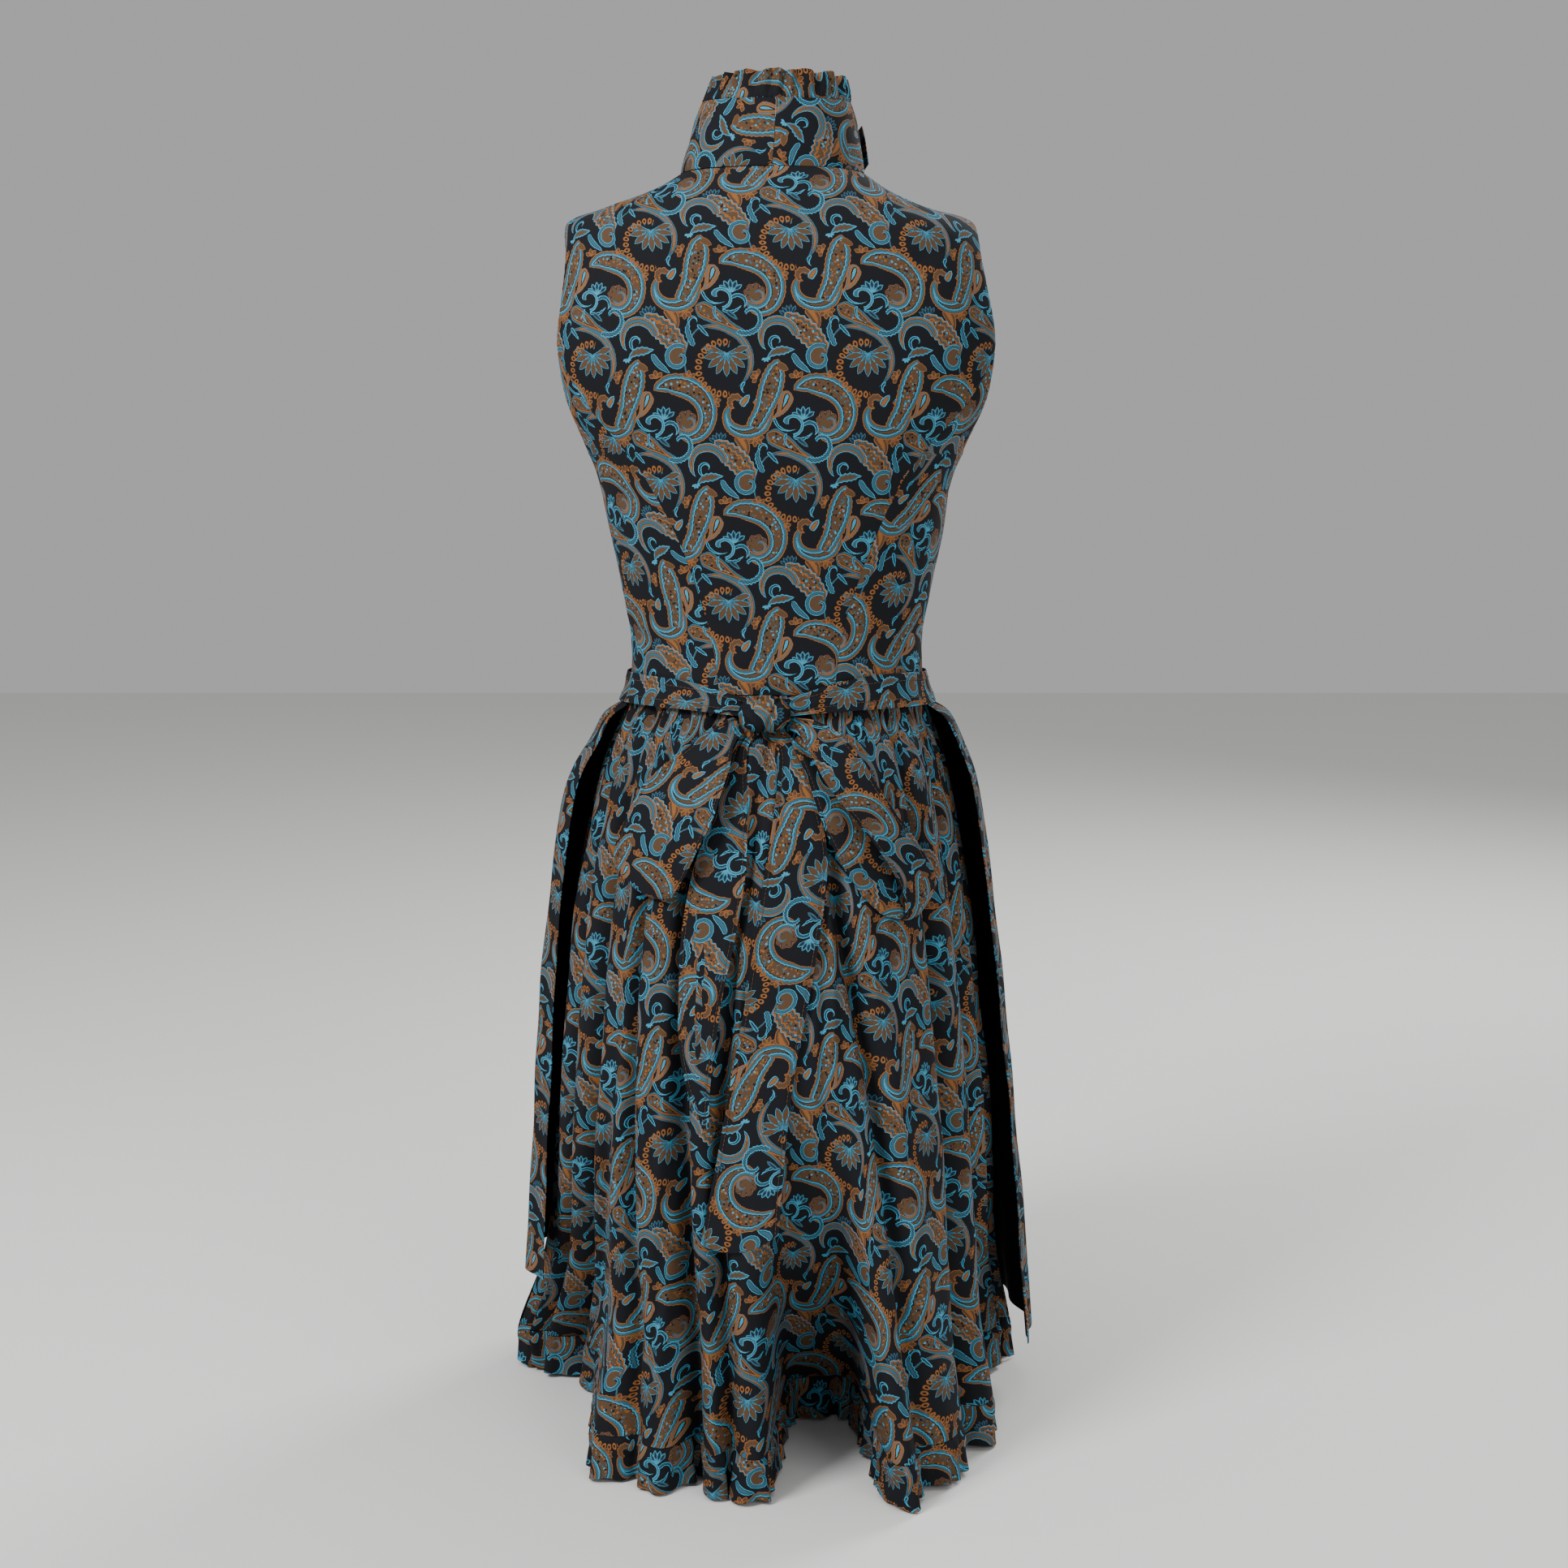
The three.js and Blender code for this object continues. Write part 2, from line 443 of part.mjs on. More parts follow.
// Hem frill: even columns along the hem's own line, swinging from side to side.
function hemFrill(from, to) {
  const angles = steps(from + sideGap, to - sideGap, 720);
  const lengths = [0];
  for (let i = 1; i < angles.length; i += 1) {
    lengths.push(lengths[i - 1] + skirtPoint(angles[i], 8).distanceTo(skirtPoint(angles[i - 1], 8)));
  }
  const whole = lengths.at(-1);
  const waves = Math.round(whole / HEM_WAVE);
  const angleAt = (length) => {
    const i = Math.max(1, lengths.findIndex((l) => l >= length - 1e-6));
    const share = (length - lengths[i - 1]) / (lengths[i] - lengths[i - 1]);
    return angles[i - 1] + (angles[i] - angles[i - 1]) * share;
  };
  const outer = [];
  const inner = [];
  for (const v of [0, 1]) {
    for (let k = 0; k <= waves * 4; k += 1) {
      const degrees = angleAt(whole * k / (waves * 4));
      const tangent = skirtPoint(degrees + 0.8, 8).sub(skirtPoint(degrees - 0.8, 8)).normalize();
      const out = new THREE.Vector3(tangent.y, -tangent.x, 0);
      const swing = [0, 1, 0, -1][k % 4] * HEM_WAVE_REACH * v;
      const p = skirtPoint(degrees, 8).addScaledVector(out, swing + 3 * v);
      p.z = HEM - 3 * SEAM - (HEM_FRILL - 3 * SEAM - 2 * Math.cos(0.9 * k)) * v;
      outer.push(p);
      inner.push(p.clone().addScaledVector(out, -CLOTH));
    }
  }
  return shell(outer, inner, waves * 4 + 1, 2);
}

// Apron panel
function apronPoint(degrees, t) {
  const share = Math.max(0, t / 8);
  const fold = 0.5 + 0.5 * Math.cos(APRON_FOLDS * (degrees - 90) * DEG + 1.5 * Math.sin(3 * degrees * DEG));
  const p = ring(APRON, degrees, t, (0.3 + 7.5 * share ** 1.5) * fold);
  p.z -= APRON_TILT * Math.sin(degrees * DEG) * share ** 4;
  return p;
}

function apronPanel() {
  return wall(apronPoint, steps(APRON_EDGE, 360 - APRON_EDGE, 72), steps(0, 8, 8), false);
}

// Apron band and ties
function bandPoint(degrees, t) {
  const turn = degrees > 180 ? degrees - 360 : degrees;
  const top = along(BAND_EDGES, 'top', turn, 'at');
  const bottom = along(BAND_EDGES, 'bottom', turn, 'at');
  const z = top + (bottom - top) * t / 2;
  const p = ring(BAND, degrees, (BAND_TOP - z) / BAND_ROW);
  p.z = z;
  return p;
}

const bandWall = (from, to, columns) => wall(bandPoint, steps(from, to, columns), [0, 1, 2], false);

// Bow. The ribbons follow the skirt's ridges.
const SKIRT_FALL = [...SKIRT].reverse();

function skirtRidge(x, z) {
  const half = along(SKIRT_FALL, 'half', z, 'z');
  const back = along(SKIRT_FALL, 'back', z, 'z');
  const mid = along(SKIRT_FALL, 'mid', z, 'z');
  const share = Math.min(0.98, Math.abs(x - mid) / half);
  return -back * Math.sqrt(1 - share * share);
}

function ribbon(rows, lengths, columns) {
  const surface = (u, t) => {
    const x = along(rows, 'leftX', t) * (1 - u) + along(rows, 'rightX', t) * u;
    const z = along(rows, 'leftZ', t) * (1 - u) + along(rows, 'rightZ', t) * u
      - along(rows, 'dip', t) * 4 * u * (1 - u);
    return new THREE.Vector3(x, skirtRidge(x, z) - along(rows, 'lift', t), z);
  };
  return wall(surface, steps(0, 1, columns), steps(0, rows.at(-1).t, lengths), false);
}

function knotLump() {
  const geometry = new THREE.SphereGeometry(1, 20, 12);
  geometry.deleteAttribute('normal');
  geometry.deleteAttribute('uv');
  const lump = mergeVertices(geometry, 1e-4);
  const p = lump.attributes.position;
  const seat = bandPoint(TIES_MEET, 1.8).y - SEAM;
  for (let i = 0; i < p.count; i += 1) {
    const [x, y, z] = [p.getX(i), p.getY(i), p.getZ(i)];
    const size = 1 + KNOT.relief * (Math.cos(KNOT.wraps * Math.PI * (x + z)) - 1) * (1 - y * y);
    p.setXYZ(
      i,
      KNOT.x + KNOT.halfWidth * x * size,
      seat - KNOT.halfDepth + KNOT.halfDepth * y * size,
      KNOT.z + KNOT.halfHeight * z * size,
    );
  }
  return lump;
}

// One dark printed cotton throughout.
const CLOTH_COLOUR = 0x232a33;
const group = new THREE.Group();

function add(name, geometry) {
  const material = new THREE.MeshStandardMaterial({ color: CLOTH_COLOUR, roughness: 0.85, metalness: 0 });
  const mesh = new THREE.Mesh(geometry, material);
  mesh.name = name;
  group.add(mesh);
}

// Bodice panels: between the curved seams below and the armholes above, up to the neck seam.
add('back_centre', bodicePanel(mirrored(seamBack), seamBack, LEVELS, 12));
add('back_side_right', bodicePanel(seamBack, sideBack, SIDE_LEVELS, 4));
add('back_side_left', bodicePanel(mirrored(sideBack), mirrored(seamBack), SIDE_LEVELS, 4));
add('front_side_right', bodicePanel(sideFront, seamFront, SIDE_LEVELS, 4));
add('front_side_left', bodicePanel(mirrored(seamFront), mirrored(sideFront), SIDE_LEVELS, 4));
add('front_right', bodicePanel(seamFront, centreFront, LEVELS, 7));
add('front_left', bodicePanel(mirrored(centreFront), mirrored(seamFront), LEVELS, 7));

const collarEnd = 180 - COLLAR_OPENING;
const collarSeam = SEAM / 2 / COLLAR[0].back / DEG;
add('collar_right', collarHalf(collarSeam, collarEnd));
add('collar_left', collarHalf(-collarEnd, -collarSeam));
add('collar_frill', collarFrill());
add('collar_tab', collarTab());

add('skirt_back', skirtWall(-90, 90));
add('skirt_front', skirtWall(90, 270));
add('hem_frill_back', hemFrill(-90, 90));
add('hem_frill_front', hemFrill(90, 270));
add('apron_panel', apronPanel());

const tieGap = SEAM / 2 / BAND[1].half / DEG;
add('apron_band', bandWall(APRON_EDGE + tieGap, 360 - APRON_EDGE - tieGap, 44));
add('tie_right', bandWall(TIES_MEET + tieGap, APRON_EDGE - tieGap, 18));
add('tie_left', bandWall(-APRON_EDGE + tieGap, TIES_MEET - tieGap, 18));
add('bow_knot', knotLump());
add('bow_loop_left', ribbon(LEFT_LOOP, 18, 4));
add('bow_loop_right', ribbon(RIGHT_LOOP, 20, 4));
add('bow_tail_short', ribbon(SHORT_TAIL, 12, 4));
add('bow_tail_long', ribbon(LONG_TAIL, 14, 4));

export default group;
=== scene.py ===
"""Dirndl with apron, seen from the back, in paisley-printed cotton.

Cloth pieces are thin shells worked out in millimetres from the same tables of sections as the
solids that they replace, with finer folds, gathers and creases, and are written in metres.
"""

from __future__ import annotations

import logging
import math
from dataclasses import dataclass, field
from enum import Enum
from typing import Callable, NamedTuple, Sequence

import bpy
import numpy as np
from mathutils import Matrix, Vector


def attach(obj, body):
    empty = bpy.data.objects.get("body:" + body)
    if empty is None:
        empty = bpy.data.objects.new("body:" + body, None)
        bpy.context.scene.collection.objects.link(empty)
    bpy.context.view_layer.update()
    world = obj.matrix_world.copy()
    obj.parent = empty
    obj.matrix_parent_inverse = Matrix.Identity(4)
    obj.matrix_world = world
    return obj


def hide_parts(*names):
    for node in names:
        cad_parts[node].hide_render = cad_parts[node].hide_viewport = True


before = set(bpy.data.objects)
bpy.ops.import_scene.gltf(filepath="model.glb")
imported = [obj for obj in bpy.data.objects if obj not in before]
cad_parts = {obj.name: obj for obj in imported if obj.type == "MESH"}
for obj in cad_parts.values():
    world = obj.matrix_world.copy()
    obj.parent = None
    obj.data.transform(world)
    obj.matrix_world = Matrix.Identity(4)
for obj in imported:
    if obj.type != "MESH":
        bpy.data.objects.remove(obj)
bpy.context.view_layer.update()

LOG = logging.getLogger("dirndl")

MM = 0.001
RNG_SEED = 7

# Driving sizes in millimetres
CLOTH = 0.6
WAIST = -397.0
HEM = -965.0
HEM_FRILL = 35.0
HEM_WAVE = 26.0
HEM_WAVE_REACH = 4.5
COLLAR_WAVES = 28
COLLAR_WAVE_REACH = 2.6
APRON_EDGE = 72.0
APRON_TILT = 29.0
APRON_FOLDS = 17
TIE_CLEAR = 3.4
STITCH_LENGTH = 2.6
STITCH_PITCH = 3.4
STITCH_RADIUS = 0.22
STITCH_INSET = 3.0

# Repeat of the print, and where its first flower stands on the back
PRINT_WIDTH = 102.0
PRINT_HEIGHT = 90.5
PRINT_PLACE = (17.0, -50.0)
PRINT_PLACE_ON_CLOTH = (PRINT_PLACE[0], 0.0)
PRINT_SCALE = 1.04
# Millimetres that 1 stands for in the print's nodes
UNIT = 12.0

# Shapes of the folds: sizes in millimetres, the rest shares of the full size or powers
LAST_LEVEL = 8.0
FOLD_START_WIDTH, FOLD_START_DEPTH = 0.35, 0.1
DEEP_FOLD_POWER = 1.5
APRON_FOLD_LEAST, APRON_FOLD_DEPTH = 0.3, 7.5
CREASE_STRENGTH = 1.5
SHARP_DEPTH, SHARP_WIDTH = 11.0, 5.6
RIDGE_HEIGHT, RIDGE_AWAY = 2.4, 3.2
RIPPLE_WAVES = 6
GATHER_BEATS = (2.3, 5.7, 11.0)
STITCH_CLEAR = 0.15

# Camera, from the photograph's scale and perspective
CAMERA_PLACE = (7.0, -1700.0, -235.0)
CAMERA_TARGET = (7.0, 0.0, -480.0)
CAMERA_LENS = 47.77
SENSOR = 36.0
FLOOR_Z = -1002.5

Points = np.ndarray
Edge = Callable[[Points], Points]


class Hold(Enum):
    """How a cloth piece is held."""

    WORN = "stretched"
    HUNG = "hung"
    GATHERED = "gathered"
    LAID = "laid"
    FOLDED = "folded"


class Slot(Enum):
    """The record's material slots."""

    PRINT = "printed_cotton"
    APRON = "apron_cotton"
    THREAD = "sewing_thread"


class Level(NamedTuple):
    """Ring of the bodice or collar: heights at the side, back and front, and its half sizes."""

    t: float
    side: float
    rear: float
    fore: float
    half: float
    back: float
    front: float
    mid: float
    round: float


class SeamLevel(NamedTuple):
    """Curved seams' angles from the centre back at a level of the bodice."""

    t: float
    back: float
    front: float


class HoopLevel(NamedTuple):
    """Level ring of the skirt, apron or band."""

    t: float
    z: float
    half: float
    back: float
    front: float
    mid: float


class Valley(NamedTuple):
    """Soft fold that runs the whole length of the skirt, with its place in degrees."""

    waist: float
    halfway: float
    hem: float
    depth: float
    left: float
    right: float


class DeepFold(NamedTuple):
    """Fold that opens towards the hem; a negative depth is a lobe that stands out."""

    halfway: float
    hem: float
    depth: float
    left: float
    right: float
    start: float
    lean: float
    steep_left: float
    steep_right: float


class Across(NamedTuple):
    """Line across a ribbon, from its left to its right edge."""

    t: float
    left_x: float
    left_z: float
    right_x: float
    right_z: float
    lift: float
    dip: float


class BandEdge(NamedTuple):
    """Heights of the apron band's edges at an angle round the waist."""

    at: float
    top: float
    bottom: float


def numbered(kind: type[NamedTuple], *rows: tuple[float, ...]) -> tuple[NamedTuple, ...]:
    """Makes a table of sections whose first column, the level t, counts its rows."""
    return tuple(kind(t, *row) for t, row in enumerate(rows))


BODICE = numbered(
    Level,
    (WAIST, WAIST, WAIST, 119, 92, 90, 1.5, 0.95),
    (-355, -355, -355, 119, 88, 88, 1, 0.95),
    (-316, -316, -316, 126, 91, 97, 1, 0.94),
    (-276, -276, -276, 134, 98, 110, 1, 0.92),
    (-237, -240, -240, 141, 105, 122, 0, 0.89),
    (-212, -214, -214, 150, 109, 127, 0, 0.86),
    (-165, -178, -176, 176, 112, 124, 1, 0.8),
    (-125, -145, -140, 185, 113, 114, 1, 0.76),
    (-88, -112, -108, 181, 112, 102, 0.5, 0.75),
    (-55, -80, -82, 172, 107, 92, -1, 0.76),
    (-30, -52, -62, 160, 99, 84, -4, 0.79),
    (-19, -30, -48, 128, 90, 76, -6, 0.84),
    (-8, -10, -36, 97, 78, 68, -4, 0.9),
    (7, 5, -25, 73, 64, 60, -2, 0.95),
)
BODICE_SEAMS = numbered(
    SeamLevel,
    (21, 157),
    (24, 155),
    (28, 152),
    (33, 148),
    (40, 143),
    (46, 138),
    (54, 128),
    (63, 117),
)
SEAM_LAST = 7
SEAM_TOP = 6.94
ARMHOLE_BOTTOM, ARMHOLE_TOP = 5.0, 10.0
ARMHOLE_WIDE_FROM, ARMHOLE_WIDE_TO = 7.0, 8.0
ARMHOLE_WIDEST = 27.0

COLLAR = numbered(
    Level,
    (7.7, 5.7, -24.3, 73, 64, 60, -2, 0.96),
    (38, 32, 8, 66.5, 58, 59, 0, 0.97),
    (62, 58, 40, 59, 51, 60, 1, 0.98),
)
COLLAR_FRILL = numbered(
    Level,
    (62.6, 58.6, 40.6, 58.4, 50.4, 59.4, 1, 0.98),
    (71, 68, 51, 55.5, 49.5, 59, 2.5, 0.98),
    (80, 79, 62, 51.5, 50, 60, 3.5, 0.98),
)
COLLAR_OPENING = 1.2
TAB_FROM, TAB_TO, TAB_LOW, TAB_HIGH, TAB_LIFT, TAB_FLARE = 186.0, 96.0, 0.18, 0.7, 2.1, 3.2

SKIRT = numbered(
    HoopLevel,
    (WAIST - 0.8, 118, 92, 90, 1.5),
    (-415, 123, 99, 97, 1),
    (-440, 133, 119, 114, 0),
    (-480, 145, 139, 132, -1),
    (-570, 161, 164, 158, -3),
    (-680, 173, 184, 178, -3),
    (-790, 184, 201, 193, -3),
    (-885, 195, 206, 203, -4),
    (HEM, 217, 214, 216, -8),
)
BACK_VALLEYS = (
    Valley(-84, -82, -79, 15, 15, 15),
    Valley(-68, -68, -65, 13, 12, 12),
    Valley(-52, -55, -51, 17, 14, 14),
    Valley(-36, -40, -29, 10, 12, 12),
    Valley(-23, -25, -16, 30, 13, 13),
    Valley(1, -12, -7, 9, 9, 9),
    Valley(6, 27, 36, 14, 14, 14),
    Valley(45, 53, 51, 20, 14, 14),
    Valley(64, 67, 64, 14, 12, 12),
    Valley(83, 81, 81, 15, 14, 14),
)
DEEP_FOLDS = (
    DeepFold(7, 12.6, 142, 39, 42, 0.5, -4, 6, 6),
    DeepFold(-48, -42, 146, 170, 12, 0.52, 0, 2, 4),
    DeepFold(66, 67, 106, 12, 115, 0.56, -6, 4, 2),
    DeepFold(31, 31, -42, 32, 46, 0.4, 0, 2, 2),
)
FRONT_FOLDS = 12
FRONT_FOLD_DEPTH = 17.0
FRONT_FOLD_WIDTH = 15.0

APRON = numbered(
    HoopLevel,
    (WAIST - 1, 122, 95.5, 94, 1.5),
    (-410, 126.6, 99.5, 98.5, 1.5),
    (-420, 140, 112, 110, 1.5),
    (-440, 150, 120, 123, 1.5),
    (-480, 166.5, 126, 142, -1.5),
    (-550, 177.5, 124, 168, -2),
    (-650, 188.5, 118, 187, -1),
    (-780, 199, 114, 204, 2),
    (-922, 209, 112, 222, 4.5),
)

BAND_TOP = -383.0
BAND_ROW = 14.0
BAND = numbered(
    HoopLevel,
    (0, 122.2, 94.2, 93.2, 1.5),
    (0, 125, 98.4, 97.2, 1.5),
    (0, 130.8, 103.2, 102.8, 1.5),
)
BAND_EDGES = (
    BandEdge(-180, -383, -410),
    BandEdge(-90, -385, -409),
    BandEdge(-60, -385, -408),
    BandEdge(-33, -388, -409),
    BandEdge(-14, -397, -412),
    BandEdge(-4, -400, -414),
    BandEdge(5, -398, -412),
    BandEdge(20, -389, -410),
    BandEdge(41, -383, -409),
    BandEdge(90, -385, -410),
    BandEdge(180, -383, -410),
)
TIES_MEET = -4.0
KNOT_PLACE = (-8.0, -410.0)
KNOT_HALF = (20.5, 11.5, 14.5)

LEFT_LOOP = numbered(
    Across,
    (-32, -413, -24, -424, 9, 0),
    (-46, -418, -31, -431, 14, 0),
    (-66, -434, -34, -446, 18, 0),
    (-87, -450, -40, -464, 20, 0),
    (-103, -466, -47, -485, 21, 0),
    (-115, -490, -58, -507, 20, 1),
    (-124, -512, -68, -528, 17, 4),
    (-125, -526, -76, -541, 14, 7),
    (-123, -531, -78, -546, 9.5, 8),
    (-119, -527, -77, -541, 6, 7),
    (-108, -500, -62, -508, 5.2, 2),
    (-84, -460, -45, -466, 5.2, 0),
    (-54, -431, -34, -439, 5.2, 0),
    (-36, -419, -28, -427, 4.2, 0),
)
RIGHT_LOOP = numbered(
    Across,
    (11, -421.5, 15.5, -413, 9, 0),
    (19, -425, 32, -415, 15, 0),
    (28, -438, 50, -425, 21, 0),
    (37, -455, 66, -442, 24, 0),
    (50, -472, 78, -462, 26, 0),
    (63, -488, 93, -484, 26, 0),
    (76, -505, 107, -503, 25, 0),
    (88, -523, 119, -524, 22, 2),
    (98, -545, 126, -542, 17, 5),
    (100, -562, 121, -554, 10.5, 5),
    (91, -565, 116, -556, 6, 4),
    (74, -553, 107, -538, 5.2, 1),
    (54, -526, 88, -510, 5.2, 0),
    (37, -492, 64, -474, 5.2, 0),
    (25, -457, 42, -444, 5.2, 0),
    (13, -431, 20, -424, 5, 0),
)
SHORT_TAIL = numbered(
    Across,
    (-23, -423, -12, -424.5, TIE_CLEAR, 0),
    (-32, -437, -21, -437, TIE_CLEAR, 0),
    (-46, -481, -21, -481, TIE_CLEAR, 0),
    (-62, -525, -22, -525, TIE_CLEAR, 0),
    (-71, -574, -30, -574, TIE_CLEAR, 0),
    (-73, -620, -40, -620, TIE_CLEAR, 0),
    (-73, -655, -45, -655, TIE_CLEAR, 0),
    (-66, -689, -49, -689, TIE_CLEAR, 0),
    (-54, -716, -50, -716, TIE_CLEAR, 0),
)
LONG_TAIL = numbered(
    Across,
    (-7, -424.6, 8, -422.5, TIE_CLEAR, 0),
    (3, -440, 20, -438, TIE_CLEAR, 0),
    (0, -478, 33, -478, TIE_CLEAR, 0),
    (-6, -515, 40, -515, TIE_CLEAR, 0),
    (-13, -560, 36, -560, TIE_CLEAR, 0),
    (-21, -613, 27, -613, TIE_CLEAR, 0),
    (-32, -674, 15, -674, TIE_CLEAR, 0),
    (-44, -740, 7, -740, TIE_CLEAR, 0),
    (-56, -802, 3, -792, TIE_CLEAR, 9),
)


# Finishes


class Ink(Enum):
    """Colours of the print, as sRGB hex."""

    GROUND = "#191a1e"
    NIGHT = "#18293a"
    MID_BLUE = "#365e6e"
    BRIGHT_BLUE = "#4193b1"
    RUST = "#8b5a31"
    BROWN = "#58422f"


Bands = tuple[tuple[float, Ink], ...]
Profile = tuple[tuple[float, float], ...]
GROUND, NIGHT, MID, BRIGHT, RUST, BROWN = Ink


@dataclass(frozen=True)
class ClothFinish:
    """Printed cotton: its right side is the print, its wrong side one dull near-black colour that paints the
    shade inside the garment.
    """

    name: str
    print_angle: float = 0.0
    print_shift: tuple[float, float] = (0.0, 0.0)
    roughness: float = 0.86
    weave_mm: float = 0.45
    ink_range: tuple[float, float] = (0.68, 1.24)
    bump: float = 0.12
    bump_mm: float = 0.2
    sheen: float = 0.12


@dataclass(frozen=True)
class PlainFinish:
    """One-coloured finish."""

    name: str
    colour: str
    roughness: float
    sheen: float = 0.2


THREAD = PlainFinish("cotton_sewing_thread", "#5c4534", 0.75)
# Near-black painted shade on the unprinted wrong side: it stands for the deep shade inside the garment and
# between the apron and the skirt
PAINTED_SHADE_REVERSE = PlainFinish("cotton_reverse_painted_shade", "#131317", 0.95)
STUDIO = PlainFinish("painted_studio_floor", "#e9e8e6", 0.9)


# Middle and half width of a loop's line, as shares of the loop's squared half size
LOOP_LINE = (0.62, 0.4)
# Degrees from which a rosette counts as closed, and steps that keep its angles above nothing
WHOLE_TURN = 350
TURNS_UP = 50


@dataclass(frozen=True)
class Stripe:
    """Stripe whose middle line and half width change on its way.

    Attributes:
        centre: Its place on the cloth in millimetres from the flower.
        turn: Angle at which it starts, or of its axis.
        extent: Its sweep in degrees, or its length in millimetres.
        line: Its middle line's radius, or how far that line leaves the axis.
        width: Its half width.
        bands: Colours from the edge inward.
        teeth: Number of teeth along each edge.
        tooth: Height of a tooth.
        beads: Distance from the edge at which beads begin, if it has any.
    """

    centre: tuple[float, float]
    turn: float
    extent: float
    line: Profile
    width: Profile
    bands: Bands
    teeth: int = 0
    tooth: float = 0.0
    beads: float = 0.0


class Comma(Stripe):
    """Bent teardrop: a stripe along an arc."""

    def draw(self, painter: PrintBuilder) -> None:
        """Draws it over the print so far."""
        distance, angle = painter.polar(self.centre, self.turn, self.extent)
        share = painter.build.math("MULTIPLY_ADD", angle, 1 / math.radians(abs(self.extent)), 0.5)
        painter.stripe(self, share, distance)


class Leaf(Stripe):
    """Stripe along a nearly straight axis."""

    def draw(self, painter: PrintBuilder) -> None:
        """Draws it over the print so far."""
        x, y = painter.place(self.centre, self.turn, stretch=UNIT / self.extent)
        painter.stripe(self, painter.build.math("ADD", x, 0.5), y)


@dataclass(frozen=True)
class Rosette:
    """Petals round a point, on part of a turn."""

    centre: tuple[float, float]
    turn: float
    sweep: float
    petals: int
    length: float
    width: Profile
    bands: Bands

    def draw(self, painter: PrintBuilder) -> None:
        """Draws it over the print so far."""
        math_node = painter.build.math
        distance, angle = painter.polar(self.centre, self.turn, self.sweep)
        step = math.radians(self.sweep) / self.petals
        # Distance from a petal's axis, as an angle
        shifted = angle if self.petals % 2 else math_node("ADD", angle, step / 2)
        side = math_node("PINGPONG", math_node("ADD", shifted, step * TURNS_UP), step / 2)
        width = painter.build.curve(math_node("MULTIPLY", distance, UNIT / self.length), self.width)
        depth = math_node("SUBTRACT", width, math_node("MULTIPLY", side, distance))
        if self.sweep < WHOLE_TURN:
            inside = math_node("COMPARE", angle, 0.0, math.radians(self.sweep) / 2)
            depth = math_node("MULTIPLY", depth, inside)
        painter.paint(depth, self.bands)


@dataclass(frozen=True)
class Chain:
    """Loops strung along an arc."""

    centre: tuple[float, float]
    turn: float
    sweep: float
    radius: float
    loops: int
    half: tuple[float, float]
    ink: Ink

    def draw(self, painter: PrintBuilder) -> None:
        """Draws it over the print so far."""
        math_node = painter.build.math
        distance, angle = painter.polar(self.centre, self.turn, self.sweep)
        step = 2 * math.pi / self.loops
        side = math_node("PINGPONG", math_node("ADD", angle, step * TURNS_UP), step / 2)
        a = math_node("MULTIPLY", side, self.radius / self.half[0])
        b = math_node("MULTIPLY_ADD", distance, UNIT / self.half[1], -self.radius / self.half[1])
        reach = math_node("MULTIPLY_ADD", a, a, math_node("MULTIPLY", b, b))
        line = math_node("COMPARE", reach, *LOOP_LINE)
        inside = math_node("COMPARE", angle, 0.0, math.radians(self.sweep) / 2)
        mask = math_node("MULTIPLY", line, inside)
        painter.colour = painter.build.choose(mask, painter.colour, linear(self.ink.value))


POINTED = ((0.0, 0.0), (0.12, 0.55), (0.35, 0.95), (0.55, 1.0), (0.8, 0.6), (1.0, 0.0))
TEARDROP = ((0.0, 0.0), (0.06, 0.6), (0.2, 1.0), (0.45, 0.85), (0.75, 0.4), (1.0, 0.0))
EVEN = ((0.0, 0.0), (0.08, 0.8), (0.3, 1.0), (0.6, 0.9), (0.85, 0.55), (1.0, 0.0))


def scaled(profile: Profile, size: float) -> Profile:
    """Scales the heights of a profile so that 1 becomes a size in millimetres."""
    return tuple((at, value * size) for at, value in profile)


RUST_BLUE: Bands = ((0, RUST), (0.9, GROUND), (1.2, MID), (2.9, BRIGHT), (3.8, GROUND), (4.4, BROWN))
BLUE_RUST = ((0.0, MID), (1.3, GROUND), (1.55, RUST), (2.6, GROUND), (3.0, BROWN))
STEM = ((0.0, MID), (0.85, NIGHT), (1.15, RUST), (2.0, MID))
LINE_BLUE = ((0.0, BRIGHT), (0.7, NIGHT), (1.2, MID))
PETAL = ((0.0, BRIGHT), (0.42, NIGHT), (0.6, BROWN))
RUST_LINE = ((0.0, RUST), (0.8, NIGHT), (1.0, BROWN))
BLUE_SCROLL = ((0.0, BRIGHT), (0.6, GROUND), (0.9, RUST), (1.8, NIGHT), (2.1, MID))
SLIM_PETAL = ((0.0, 0.1), (0.3, 0.4), (0.6, 1.0), (0.82, 0.75), (1.0, 0.0))

STRAIGHT: Profile = ((0, 0), (1, 0))
RISING: Profile = ((0, 0), (1, 1))
ALL_MID, ALL_BRIGHT, ALL_BROWN = ((0, MID),), ((0, BRIGHT),), ((0, BROWN),)

